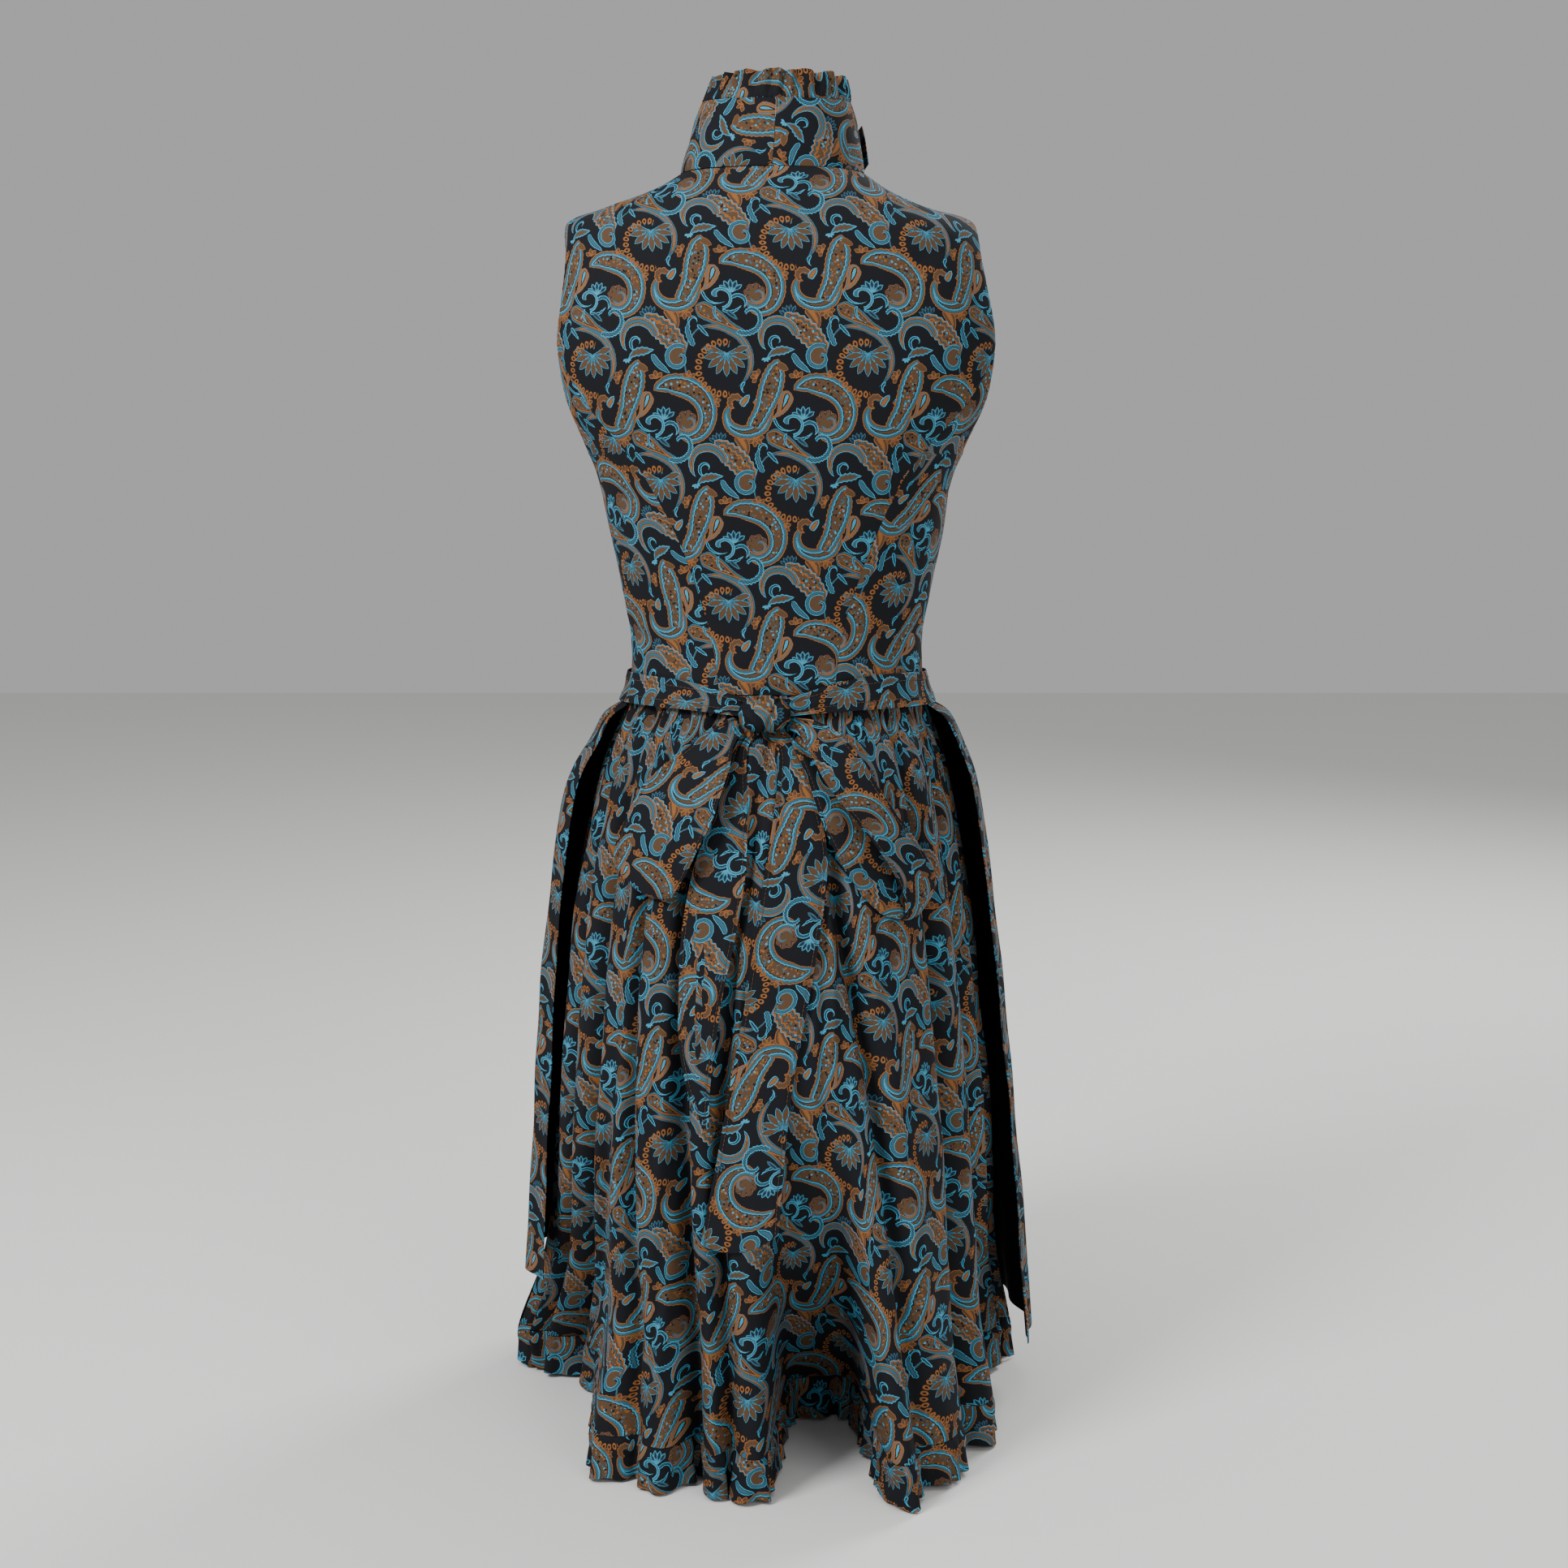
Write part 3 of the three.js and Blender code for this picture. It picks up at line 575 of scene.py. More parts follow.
MOTIFS: tuple[Stripe | Rosette | Chain, ...] = (
    # Stem that sweeps round the flower, with a hook at its end
    Comma(
        (0, -0.8), 130, -196, ((0, 30), (0.15, 24), (0.32, 20), (0.55, 18), (0.8, 18.6), (1, 20.6)),
        ((0, 0.6), (0.15, 2.6), (0.32, 3.1), (0.55, 2.6), (0.8, 1.8), (1, 0)), STEM,
    ),
    Comma((15.5, -20.5), 110, 130, ((0, 4.5), (1, 4)), scaled(TEARDROP, 1.2), LINE_BLUE),
    Comma((9.5, -26.5), 130, 160, ((0, 3), (1, 3.4)), scaled(TEARDROP, 0.6), ALL_MID),
    # Flower with its string of loops
    Rosette((0.5, 4.5), -208, 236, 9, 17, scaled(SLIM_PETAL, 2.5), PETAL),
    Rosette((0.5, 4.6), -200, 220, 7, 5.4, scaled(SLIM_PETAL, 0.55), ALL_MID),
    Rosette((-2, -1.5), 62, 96, 6, 13.5, ((0, 0), (0.72, 0), (0.86, 0.65), (1, 0)), ALL_MID),
    # Leaf-shaped paisley above it with a hooked, toothed tail
    Leaf((-16.5, 20), -52, 12, RISING, scaled(EVEN, 1.4), LINE_BLUE),
    Leaf(
        (-3.2, 28.6), -26, 41, ((0, 0.6), (0.4, 0), (0.8, -1.4), (1, -1.2)),
        ((0, 0), (0.05, 3.6), (0.18, 6.3), (0.4, 5.6), (0.7, 3), (0.985, 1.4), (1, 0)), BLUE_RUST, 0, 0, 3,
    ),
    Leaf((5.5, 35), 14, 15, ((0, 1.5), (0.5, -1), (1, 1.6)), scaled(EVEN, 1), LINE_BLUE, 5, 0.2),
    Leaf((5, 30.8), -44, 10, RISING, scaled(EVEN, 1.7), ((0, MID), (1.1, NIGHT))),
    # Ornate leaf: a crown, a bud, a scalloped body, a spiral end and a scroll
    Rosette((47, 29), 56, 100, 5, 10, scaled(SLIM_PETAL, 1.5), ((0, MID), (0.7, NIGHT))),
    Leaf(
        (63.5, 29), -62, 17, ((0, 0), (0.5, 1.4), (1, 0)), scaled(EVEN, 4.2),
        ((0, RUST), (0.8, NIGHT), (1.2, BROWN), (2.6, RUST)),
    ),
    Leaf(
        (57.6, 19.4), -38, 40, ((0, 1.5), (0.4, 0.8), (0.8, -0.6), (1, -3)),
        ((0, 0), (0.08, 3), (0.3, 6.4), (0.6, 7.4), (0.8, 6.4), (0.985, 4.4), (1, 0)),
        ((0, BRIGHT), (0.55, RUST), (2, GROUND), (2.5, MID), (3.3, GROUND), (3.7, RUST), (5.2, BROWN)), 8,
        0.8, 3.9,
    ),
    Rosette((67.2, 1.8), 0, 340, 1, 8.6, ((0, 12), (0.9, 12), (1, 0)), ALL_BROWN),
    Comma(
        (67.2, 1.8), 66, 344, ((0, 8.4), (0.5, 7.4), (0.8, 5.2), (1, 2.2)), ((0, 1.6), (0.5, 1.7), (1, 1)),
        ((0, BRIGHT), (0.6, NIGHT), (0.9, MID)),
    ),
    Comma(
        (36.2, 16.8), 236, -238, ((0, 12.6), (0.3, 10.6), (0.6, 10.8), (1, 14.6)),
        ((0, 0), (0.1, 1.4), (0.4, 2.8), (0.75, 3.3), (0.985, 2.6), (1, 0)), BLUE_SCROLL,
    ),
    Leaf(
        (39.6, 5), 12, 21, ((0, -1.5), (0.35, 1.2), (1, 0)), scaled(POINTED, 2.8),
        ((0, BRIGHT), (0.7, MID), (1.5, BROWN)), 6, 0.35,
    ),
    Comma((36.6, 12.2), 250, -290, ((0, 5.4), (0.6, 3.6), (1, 1.4)), scaled(TEARDROP, 1.3), LINE_BLUE),
    Rosette((28.8, 1.2), 190, 170, 4, 3.6, scaled(SLIM_PETAL, 0.9), ALL_BRIGHT),
    # Upright paisley with a hooked tail
    Comma(
        (12.5, -38), -38, -186, ((0, 16), (0.3, 13.8), (0.6, 13), (1, 10)),
        ((0, 5.8), (0.25, 5), (0.6, 3.6), (0.9, 1.9), (1, 0)), RUST_BLUE, 21, 0.2,
    ),
    Leaf(
        (30.2, -24.5), -106.5, 52, ((0, 0), (0.3, 0.8), (0.65, 0.6), (1, -2.6)),
        ((0, 0), (0.06, 3.6), (0.22, 7.6), (0.42, 8.6), (0.7, 7), (0.985, 5.8), (1, 0)), RUST_BLUE, 13,
        0.35, 4.3,
    ),
    Comma((6.5, -31), 20, 250, ((0, 4.8), (1, 3.6)), scaled(EVEN, 1.9), RUST_LINE, 7, 0.4),
    Leaf((13.8, -29), 52, 10, STRAIGHT, scaled(EVEN, 2.6), ((0, BRIGHT), (0.9, NIGHT), (1.3, RUST))),
    Comma((45.5, -39.6), 184, 120, ((0, 10.6), (1, 11.4)), scaled(TEARDROP, 1.2), LINE_BLUE),
    Leaf(
        (40, -33.2), -117, 24, ((0, 0), (0.6, 1.4), (1, -2)), scaled(TEARDROP, 5.2),
        ((0, RUST), (1, MID), (1.7, RUST), (3.2, GROUND), (4, BRIGHT)),
    ),
    # Broad paisley that curls over a scalloped heart
    Rosette(
        (73, -44), 10, 359, 8, 8.2, ((0, 1.6), (0.5, 2.9), (0.85, 2.6), (1, 0)),
        ((0, RUST), (0.7, NIGHT), (1.3, BROWN)),
    ),
    Comma(
        (74.5, -45), 200, 300, ((0, 5.4), (0.6, 4.2), (1, 2)), scaled(EVEN, 1.3), ((0, MID), (0.8, RUST)),
    ),
    Comma(
        (70.5, -41), 139, -252, ((0, 29), (0.25, 21), (0.5, 18.3), (0.75, 16.8), (0.9, 13.2), (1, 8.5)),
        ((0, 0), (0.05, 4.8), (0.2, 8.6), (0.38, 8), (0.6, 6.6), (0.82, 4.9), (0.95, 2.8), (1, 0)),
        RUST_BLUE, 29, 0.22, 4.6,
    ),
    # Five-petalled flourish with two scrolls
    Rosette((56, -43), 22, 140, 5, 10, scaled(SLIM_PETAL, 1.9), ((0, BRIGHT), (0.55, MID), (1.1, NIGHT))),
    Comma((61, -50.5), 150, -196, ((0, 6), (1, 5)), scaled(EVEN, 1.5), LINE_BLUE),
    Comma(
        (48.5, -47), 20, 150, ((0, 7), (0.7, 6.4), (1, 4.6)), ((0, 1.2), (0.6, 1.3), (0.9, 2.4), (1, 0)),
        ((0, BRIGHT), (0.8, MID)),
    ),
    Comma((50.5, -56), 150, 110, ((0, 7), (1, 8)), scaled(TEARDROP, 1), ((0, BRIGHT), (0.6, NIGHT))),
    # Slender leaf, curled sprig, blossoms and trefoils
    Leaf(
        (54, -3.4), -41, 19, ((0, 1.4), (0.5, -0.6), (1, 0)), scaled(EVEN, 2.4),
        ((0, BRIGHT), (0.7, NIGHT), (1.1, MID)),
    ),
    Leaf((76.5, 18.5), 104, 19, ((0, 0), (0.6, 1.4), (1, -2)), scaled(EVEN, 1.8), LINE_BLUE, 6, 0.35),
    Comma((79, 27), 200, -230, ((0, 3.4), (1, 2.4)), scaled(TEARDROP, 1.2), LINE_BLUE),
    Leaf((41, -5.5), -28, 9, STRAIGHT, scaled(EVEN, 2.7), ((0, RUST), (0.5, BROWN))),
    Rosette((51, -13.6), 20, 160, 3, 6.4, scaled(SLIM_PETAL, 1.9), RUST_LINE),
    Rosette((75, -13), 0, 180, 3, 5.6, scaled(SLIM_PETAL, 1.7), RUST_LINE),
    Rosette((93, -30), -66, 160, 3, 5.6, scaled(SLIM_PETAL, 1.7), RUST_LINE),
    Rosette((23, -12.5), 60, 190, 4, 5.8, scaled(SLIM_PETAL, 1.9), RUST_LINE),
    Rosette((22, -56), 190, 200, 4, 6.6, scaled(SLIM_PETAL, 1.9), RUST_LINE),
    Chain((-1.6, -6.2), 76, 206, 18.5, 27, (1.7, 2.5), RUST),
    Comma(
        (17.2, 28.8), 224, 262, ((0, 12.4), (0.25, 9.3), (0.5, 8.1), (0.75, 7.6), (1, 4.6)),
        ((0, 0), (0.04, 1.7), (0.6, 1.4), (0.97, 1.1), (1, 0)), ((0, BRIGHT), (0.9, GROUND), (1.4, MID)),
        19, 0.4,
    ),
)


# Sections and surfaces


def column(rows: Sequence[NamedTuple], key: str) -> Points:
    """Gives a table's column by its name, top row first."""
    return np.array([getattr(row, key) for row in rows], float)


def along(rows: Sequence[NamedTuple], key: str, at: Points, by: str = "t") -> Points:
    """Gives smooth values of a column between the rows of a table.

    Args:
        rows: The table.
        key: The column that is wanted.
        at: Places on the column `by`.
        by: The column that the places count on.

    Returns:
        The values, in the shape of `at`.
    """
    x, y = column(rows, by), column(rows, key)
    at = np.asarray(at, float)
    last = len(x) - 1
    i = np.clip(np.searchsorted(x, at, side="left") - 1, 0, last - 1)
    width = x[i + 1] - x[i]
    slope = (y[i + 1] - y[i]) / width
    low, high = np.maximum(i - 1, 0), np.minimum(i + 2, last)
    before = np.where(i > 0, (y[i + 1] - y[low]) / np.where(i > 0, x[i + 1] - x[low], 1), slope)
    after = np.where(i < last - 1, (y[high] - y[i]) / np.where(i < last - 1, x[high] - x[i], 1), slope)
    s = (at - x[i]) / width
    a, b = (before - slope) * width, (after - slope) * width
    return y[i] + (y[i + 1] - y[i]) * s + s * (1 - s) * (a * (1 - s) - b * s)


def spread_out(first: float, last: float, columns: int, top: float, bottom: float, rows: int) -> Points:
    """Gives evenly spaced places across and down a grid, as two arrays of its shape."""
    across, down = np.linspace(first, last, columns), np.linspace(top, bottom, rows)
    return np.array(np.broadcast_arrays(across[None, :], down[:, None]))


def ring(rows: Sequence[NamedTuple], degrees: Points, t: Points, out: Points | float = 0.0) -> Points:
    """Gives points on the rings of a table.

    Args:
        rows: Table of Level or HoopLevel rows.
        degrees: Angles from the centre back towards the wearer's right.
        t: Levels.
        out: How far outside the ring the points lie, in millimetres.

    Returns:
        Points in millimetres, with a last axis of 3.
    """
    degrees, t = np.broadcast_arrays(np.asarray(degrees, float), np.asarray(t, float))
    angle = np.radians(degrees)
    s, c = np.sin(angle), np.cos(angle)
    first = rows[0]
    squareness = along(rows, "round", t) if hasattr(first, "round") else 1.0
    depth = np.where(c > 0, along(rows, "back", t), along(rows, "front", t)) + out
    half = along(rows, "half", t) + out
    if hasattr(first, "side"):
        side = along(rows, "side", t)
        z = side + (np.where(c > 0, along(rows, "rear", t), along(rows, "fore", t)) - side) * np.abs(c) ** 1.2
    else:
        z = along(rows, "z", t)
    x = along(rows, "mid", t) + np.sign(s) * half * np.abs(s) ** squareness
    y = -np.sign(c) * depth * np.abs(c) ** squareness
    return np.stack([x, y, z], axis=-1)


def armhole_reach(t: Points) -> Points:
    """Gives how far the armhole's edge lies from the side, in degrees, at levels t."""
    below = (ARMHOLE_WIDE_FROM - t) / (ARMHOLE_WIDE_FROM - ARMHOLE_BOTTOM)
    above = (t - ARMHOLE_WIDE_TO) / (ARMHOLE_TOP - ARMHOLE_WIDE_TO)
    share = np.clip(np.maximum(below, above), 0, 1)
    return ARMHOLE_WIDEST * np.sqrt(1 - share**2)


def side_back(t: Points) -> Points:
    """Gives the angle of the right side seam, or of the armhole's rear edge, at levels t."""
    return 90 - armhole_reach(t)


def side_front(t: Points) -> Points:
    """Gives the angle of the right side seam, or of the armhole's front edge, at levels t."""
    return 90 + armhole_reach(t)


def seam_back(t: Points) -> Points:
    """Gives the angle of the right back seam, or of the armhole's edge above it, at levels t."""
    return np.where(t < SEAM_LAST, along(BODICE_SEAMS, "back", np.minimum(t, SEAM_LAST)), side_back(t))


def seam_front(t: Points) -> Points:
    """Gives the angle of the right front seam, or of the armhole's edge above it, at levels t."""
    return np.where(t < SEAM_LAST, along(BODICE_SEAMS, "front", np.minimum(t, SEAM_LAST)), side_front(t))


def centre_front(t: Points) -> Points:
    """Gives the angle of the front closure at levels t."""
    return np.full(np.shape(t), 180.0)


def mirrored(edge: Edge) -> Edge:
    """Gives the same edge on the garment's left side."""

    def other(t: Points) -> Points:
        """Gives the mirrored angles at levels t."""
        return -edge(t)

    return other


def front_valleys() -> tuple[Valley, ...]:
    """Spreads further valleys unevenly over the skirt's front."""
    rows = []
    for i in range(FRONT_FOLDS):
        at = 101 + i * 158 / (FRONT_FOLDS - 1)
        rows.append(
            Valley(
                at + 2 * math.sin(3 * i),
                at + 3 * math.sin(5 * i),
                at + 4 * math.sin(7 * i),
                FRONT_FOLD_DEPTH * (1 + 0.3 * math.sin(4 * i)),
                FRONT_FOLD_WIDTH * (1 + 0.15 * math.cos(3 * i)),
                FRONT_FOLD_WIDTH * (1 - 0.15 * math.cos(3 * i)),
            )
        )
    return tuple(rows)


VALLEYS = BACK_VALLEYS + front_valleys()


def valley_line(fold: Valley, share: Points) -> Points:
    """Gives a valley's angle at a share of the way from waist to hem."""
    return (
        fold.waist * 2 * (share - 0.5) * (share - 1)
        - fold.halfway * 4 * share * (share - 1)
        + fold.hem * 2 * share * (share - 0.5)
    )


def beside(degrees: Points, at: Points, radius: Points) -> Points:
    """Gives millimetres round the skirt from a valley's line, positive to its right."""
    return (np.mod(degrees - at + 540, 360) - 180) * np.pi / 180 * radius


def skirt_point(degrees: Points, t: Points) -> Points:
    """Gives the skirt's surface with its large folds, as on the solid."""
    degrees, t = np.broadcast_arrays(np.asarray(degrees, float), np.asarray(t, float))
    p = ring(SKIRT, degrees, t)
    share = (WAIST - p[..., 2]) / (WAIST - HEM)
    outward = ring(SKIRT, degrees, t, 1.0) - p
    outward /= np.linalg.norm(outward, axis=-1, keepdims=True)
    radius = along(SKIRT, "half", t)
    grown = FOLD_START_WIDTH + (1 - FOLD_START_WIDTH) * share
    for fold in VALLEYS:
        side = beside(degrees, valley_line(fold, share), radius)
        reach = np.where(side < 0, fold.left, fold.right) * grown
        depth = fold.depth * (FOLD_START_DEPTH + (1 - FOLD_START_DEPTH) * share)
        amount = depth * np.exp(-((side / reach) ** 2))
        p = p - outward * amount[..., None]
    for deep in DEEP_FOLDS:
        opened = np.maximum(0, (share - deep.start) / (1 - deep.start))
        side = beside(degrees, deep.halfway + (deep.hem - deep.halfway) * (2 * share - 1), radius)
        reach = np.where(side < 0, deep.left, deep.right) * grown
        steep = np.where(side < 0, deep.steep_left, deep.steep_right)
        amount = np.exp(-(np.abs(side / reach) ** steep)) * opened**DEEP_FOLD_POWER
        p = p + np.stack([deep.lean * amount, deep.depth * amount, 0 * amount], axis=-1)
    return p


def apron_point(degrees: Points, t: Points) -> Points:
    """Gives the apron's surface with its folds, as on the solid."""
    degrees, t = np.broadcast_arrays(np.asarray(degrees, float), np.asarray(t, float))
    share = np.maximum(0, t / LAST_LEVEL)
    angle = np.radians(degrees)
    fold = 0.5 + 0.5 * np.cos(APRON_FOLDS * (angle - np.pi / 2) + 1.5 * np.sin(3 * angle))
    p = ring(APRON, degrees, t, (APRON_FOLD_LEAST + APRON_FOLD_DEPTH * share**1.5) * fold)
    p[..., 2] -= APRON_TILT * np.sin(angle) * share**4
    return p


def band_point(degrees: Points, t: Points) -> Points:
    """Gives the surface of the apron's band and ties, t from 0 at the top edge to 2."""
    degrees, t = np.broadcast_arrays(np.asarray(degrees, float), np.asarray(t, float))
    turn = np.where(degrees > 180, degrees - 360, degrees)
    top = along(BAND_EDGES, "top", turn, "at")
    bottom = along(BAND_EDGES, "bottom", turn, "at")
    z = top + (bottom - top) * t / 2
    p = ring(BAND, degrees, (BAND_TOP - z) / BAND_ROW)
    p[..., 2] = z
    return p


SKIRT_FALL = tuple(reversed(SKIRT))


def skirt_ridge(x: Points, z: Points) -> Points:
    """Gives how far back the skirt's ridges reach at places x, z."""
    half = along(SKIRT_FALL, "half", z, "z")
    back = along(SKIRT_FALL, "back", z, "z")
    mid = along(SKIRT_FALL, "mid", z, "z")
    share = np.minimum(0.98, np.abs(x - mid) / half)
    return -back * np.sqrt(1 - share**2)


def ribbon_point(rows: Sequence[Across], u: Points, t: Points) -> Points:
    """Gives a ribbon's surface, u from its left edge at 0 to its right edge at 1."""
    u, t = np.broadcast_arrays(np.asarray(u, float), np.asarray(t, float))
    x = along(rows, "left_x", t) * (1 - u) + along(rows, "right_x", t) * u
    z = along(rows, "left_z", t) * (1 - u) + along(rows, "right_z", t) * u
    z = z - along(rows, "dip", t) * 4 * u * (1 - u)
    return np.stack([x, skirt_ridge(x, z) - along(rows, "lift", t), z], axis=-1)


# Folds that the solids leave out


@dataclass(frozen=True)
class Crease:
    """Soft trough or ridge along a line on the back (or front) of the garment.

    path holds (x, z) places in millimetres; a negative depth is a ridge.
    """

    path: tuple[tuple[float, float], ...]
    depth: float
    width: float
    front: bool = False

    def lift(self, p: Points) -> Points:
        """Gives how far points lie below the cloth's smooth form because of the crease.

        Args:
            p: Points in millimetres.

        Returns:
            Depths in millimetres, positive inward.
        """
        line = np.array(self.path, float)
        best = np.full(p.shape[:-1], np.inf)
        place = np.zeros(p.shape[:-1])
        here = p[..., [0, 2]]
        for i in range(len(line) - 1):
            run = line[i + 1] - line[i]
            share = np.clip(((here - line[i]) @ run) / (run @ run), 0, 1)
            away = np.linalg.norm(here - line[i] - share[..., None] * run, axis=-1)
            place = np.where(away < best, (i + share) / (len(line) - 1), place)
            best = np.minimum(best, away)
        side = p[..., 1] > 0 if self.front else p[..., 1] <= 0
        fade = np.sin(np.pi * np.clip(place, 0.02, 0.98)) ** 0.7
        return np.where(side, self.depth * fade * np.exp(-((best / self.width) ** 2)), 0)


def ripple(a: Points, b: Points, size: float, seed: int) -> Points:
    """Gives a smooth uneven field from a few sines.

    Args:
        a: First coordinate in millimetres.
        b: Second coordinate in millimetres.
        size: Rough length of one wave in millimetres.
        seed: Chooses the waves.

    Returns:
        Values between about -1 and 1.
    """
    rng = np.random.default_rng(RNG_SEED + seed)
    total = np.zeros(np.broadcast(a, b).shape)
    for _ in range(RIPPLE_WAVES):
        angle, phase = rng.uniform(0, 2 * np.pi, 2)
        pitch = 2 * np.pi / (size * rng.uniform(0.6, 1.6))
        total = total + np.sin(pitch * (a * math.cos(angle) + b * math.sin(angle)) + phase)
    return total / 4


def gathers(place: Points, pitch: float, seed: int) -> Points:
    """Gives uneven gather waves.

    Args:
        place: Millimetres along the gathered edge.
        pitch: Mean length of a wave.
        seed: Chooses the unevenness.

    Returns:
        Values from -1 to 1.
    """
    rng = np.random.default_rng(RNG_SEED + seed)
    phase = place / pitch
    for length in GATHER_BEATS:
        phase = phase + 0.32 * np.sin(2 * np.pi * place / (pitch * length) + rng.uniform(0, 6.28))
    strength = 0.72 + 0.28 * np.sin(2 * np.pi * place / (pitch * 3.7) + rng.uniform(0, 6.28))
    return strength * np.sin(2 * np.pi * phase)


# Building meshes


def normals(grid: Points) -> Points:
    """Gives unit normals of a grid of points, pointing away from the garment's middle line."""
    across = np.gradient(grid, axis=1)
    down = np.gradient(grid, axis=0)
    n = np.cross(across, down)
    n /= np.maximum(np.linalg.norm(n, axis=-1, keepdims=True), 1e-9)
    return n


def outward(grid: Points) -> Points:
    """Gives normals turned so that most of them point away from the vertical middle line."""
    n = normals(grid)
    return n if (n[..., :2] * grid[..., :2]).sum() > 0 else -n


def arc_lengths(grid: Points, axis: int) -> Points:
    """Gives lengths along the lines of a grid, counted from its first point.

    Args:
        grid: Points with a last axis of 3.
        axis: 0 for lengths down the columns, 1 for lengths along the rows.

    Returns:
        Lengths in millimetres.
    """
    steps = np.linalg.norm(np.diff(grid, axis=axis), axis=-1)
    pad = [(0, 0), (0, 0)]
    pad[axis] = (1, 0)
    return np.pad(np.cumsum(steps, axis=axis), pad)


def line_lengths(line: Points) -> Points:
    """Gives lengths along one line of points, counted from its first point."""
    return np.concatenate([[0], np.cumsum(np.linalg.norm(np.diff(line, axis=0), axis=1))])


@dataclass
class ClothPiece:
    """One cut piece of cloth, as a closed thin shell over a grid of points.

    Attributes:
        name: Object name, also the CAD node that it replaces.
        grid: Outer points in millimetres, rows by columns by 3.
        print_at: Place on the printed cloth in millimetres for each grid point.
        material: Finish of the right side, and of the wrong side where the cloth is doubled; elsewhere the
            wrong side is a near-black painted shade.
        slot: The record's material slot; not used.
        flat: Cut size in millimetres, width by length.
        hold: How the cloth is held; not used.
        rests_on: Names of what it hangs from or lies on; not used.
        share: Flat area as a share of that rectangle.
        outside: Unit normals on the right side, worked out where they aren't given.
        thick: Thickness in millimetres.
        doubled: Whether the cloth is laid double, with the print on both sides.
    """

    name: str
    grid: Points
    print_at: Points
    material: bpy.types.Material
    slot: Slot
    flat: tuple[float, float]
    hold: Hold
    rests_on: tuple[str, ...] = ()
    share: float | None = None
    outside: Points | None = None
    thick: float = CLOTH
    doubled: bool = False

    def faces(self, n: Points) -> tuple[Points, Points, Points]:
        """Gives the shell's four-sided faces.

        Args:
            n: Unit normals on the right side.

        Returns:
            The faces as rows of point numbers, each face's material index, and the outer
            border's point numbers in order.
        """
        rows, columns = self.grid.shape[:2]
        count = rows * columns
        index = np.arange(count).reshape(rows, columns)
        a, b = index[:-1, :-1].ravel(), index[:-1, 1:].ravel()
        c, d = index[1:, 1:].ravel(), index[1:, :-1].ravel()
        turned = float((normals(self.grid) * n).sum()) < 0
        front = np.stack([a, d, c, b] if turned else [a, b, c, d], axis=1)
        back = front[:, ::-1] + count
        border = np.concatenate([index[0, :], index[1:, -1], index[-1, -2::-1], index[-2:0:-1, 0]])
        after = np.roll(border, -1)
        rim = np.stack([border, border + count, after + count, after], axis=1)
        faces = np.concatenate([front, back, rim[:, ::-1] if turned else rim])
        kind = np.zeros(len(faces), np.int32)
        kind[len(front) : len(front) + len(back)] = 1
        return faces, kind, border

    def mesh(self) -> bpy.types.Mesh:
        """Makes the shell's mesh, with its place on the cloth as UVs and sharp cut edges."""
        n = outward(self.grid) if self.outside is None else self.outside
        outer = self.grid.reshape(-1, 3)
        inner = (self.grid - n * self.thick).reshape(-1, 3)
        points = np.concatenate([outer, inner]) * MM
        faces, kind, border = self.faces(n)
        mesh = bpy.data.meshes.new(self.name)
        mesh.vertices.add(len(points))
        mesh.vertices.foreach_set("co", points.ravel())
        mesh.loops.add(faces.size)
        mesh.loops.foreach_set("vertex_index", faces.ravel())
        mesh.polygons.add(len(faces))
        mesh.polygons.foreach_set("loop_start", np.arange(0, faces.size, 4))
        mesh.polygons.foreach_set("use_smooth", np.ones(len(faces), bool))
        mesh.materials.append(self.material)
        # Cloth that is not doubled gets the near-black painted shade on its wrong side
        mesh.materials.append(self.material if self.doubled else reverse_painted_shade_material())
        mesh.polygons.foreach_set("material_index", kind)
        mesh.update(calc_edges=True)
        uv = mesh.uv_layers.new(name="print")
        place = np.concatenate([self.print_at.reshape(-1, 2)] * 2) * MM
        uv.data.foreach_set("uv", place[faces.ravel()].ravel())
        cut = {tuple(sorted(pair)) for pair in zip(border.tolist(), np.roll(border, -1).tolist())}
        cut |= {(p + len(outer), q + len(outer)) for p, q in cut}
        sharp = mesh.attributes.new("sharp_edge", "BOOLEAN", "EDGE")
        pairs = np.zeros(len(mesh.edges) * 2, np.int32)
        mesh.edges.foreach_get("vertices", pairs)
        flags = [tuple(sorted(pair)) in cut for pair in pairs.reshape(-1, 2).tolist()]
        sharp.data.foreach_set("value", np.array(flags, bool))
        mesh.validate()
        return mesh

    def build(self) -> None:
        """Makes the object, ties it to the frame and logs its area as a share of its cut."""
        mesh = self.mesh()
        wide, long = (side * MM for side in self.flat)
        obj = add_object(self.name, mesh)
        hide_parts(self.name)
        surface = sum(f.area for f in mesh.polygons) / 2
        cut = wide * long * (self.share or 1)
        LOG.info("%s: %d triangles, %.2f of its cut", self.name, len(mesh.polygons) * 2, surface / cut)


def add_object(name: str, mesh: bpy.types.Mesh) -> bpy.types.Object:
    """Links a mesh as an object that rides on the part and takes its finish from a slot.

    Args:
        name: Object name.
        mesh: Its mesh.

    Returns:
        The object.
    """
    obj = bpy.data.objects.new(f"{name}_cloth", mesh)
    bpy.context.scene.collection.objects.link(obj)
    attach(obj, "root")
    return obj


# Materials


def linear(colour: str) -> tuple[float, float, float, float]:
    """Turns an sRGB hex colour into linear RGBA."""
    parts = [int(colour[i : i + 2], 16) / 255 for i in (1, 3, 5)]
    rgb = [c / 12.92 if c <= 0.04045 else ((c + 0.055) / 1.055) ** 2.4 for c in parts]
    return (rgb[0], rgb[1], rgb[2], 1.0)


Socket = bpy.types.NodeSocket
Value = Socket | float


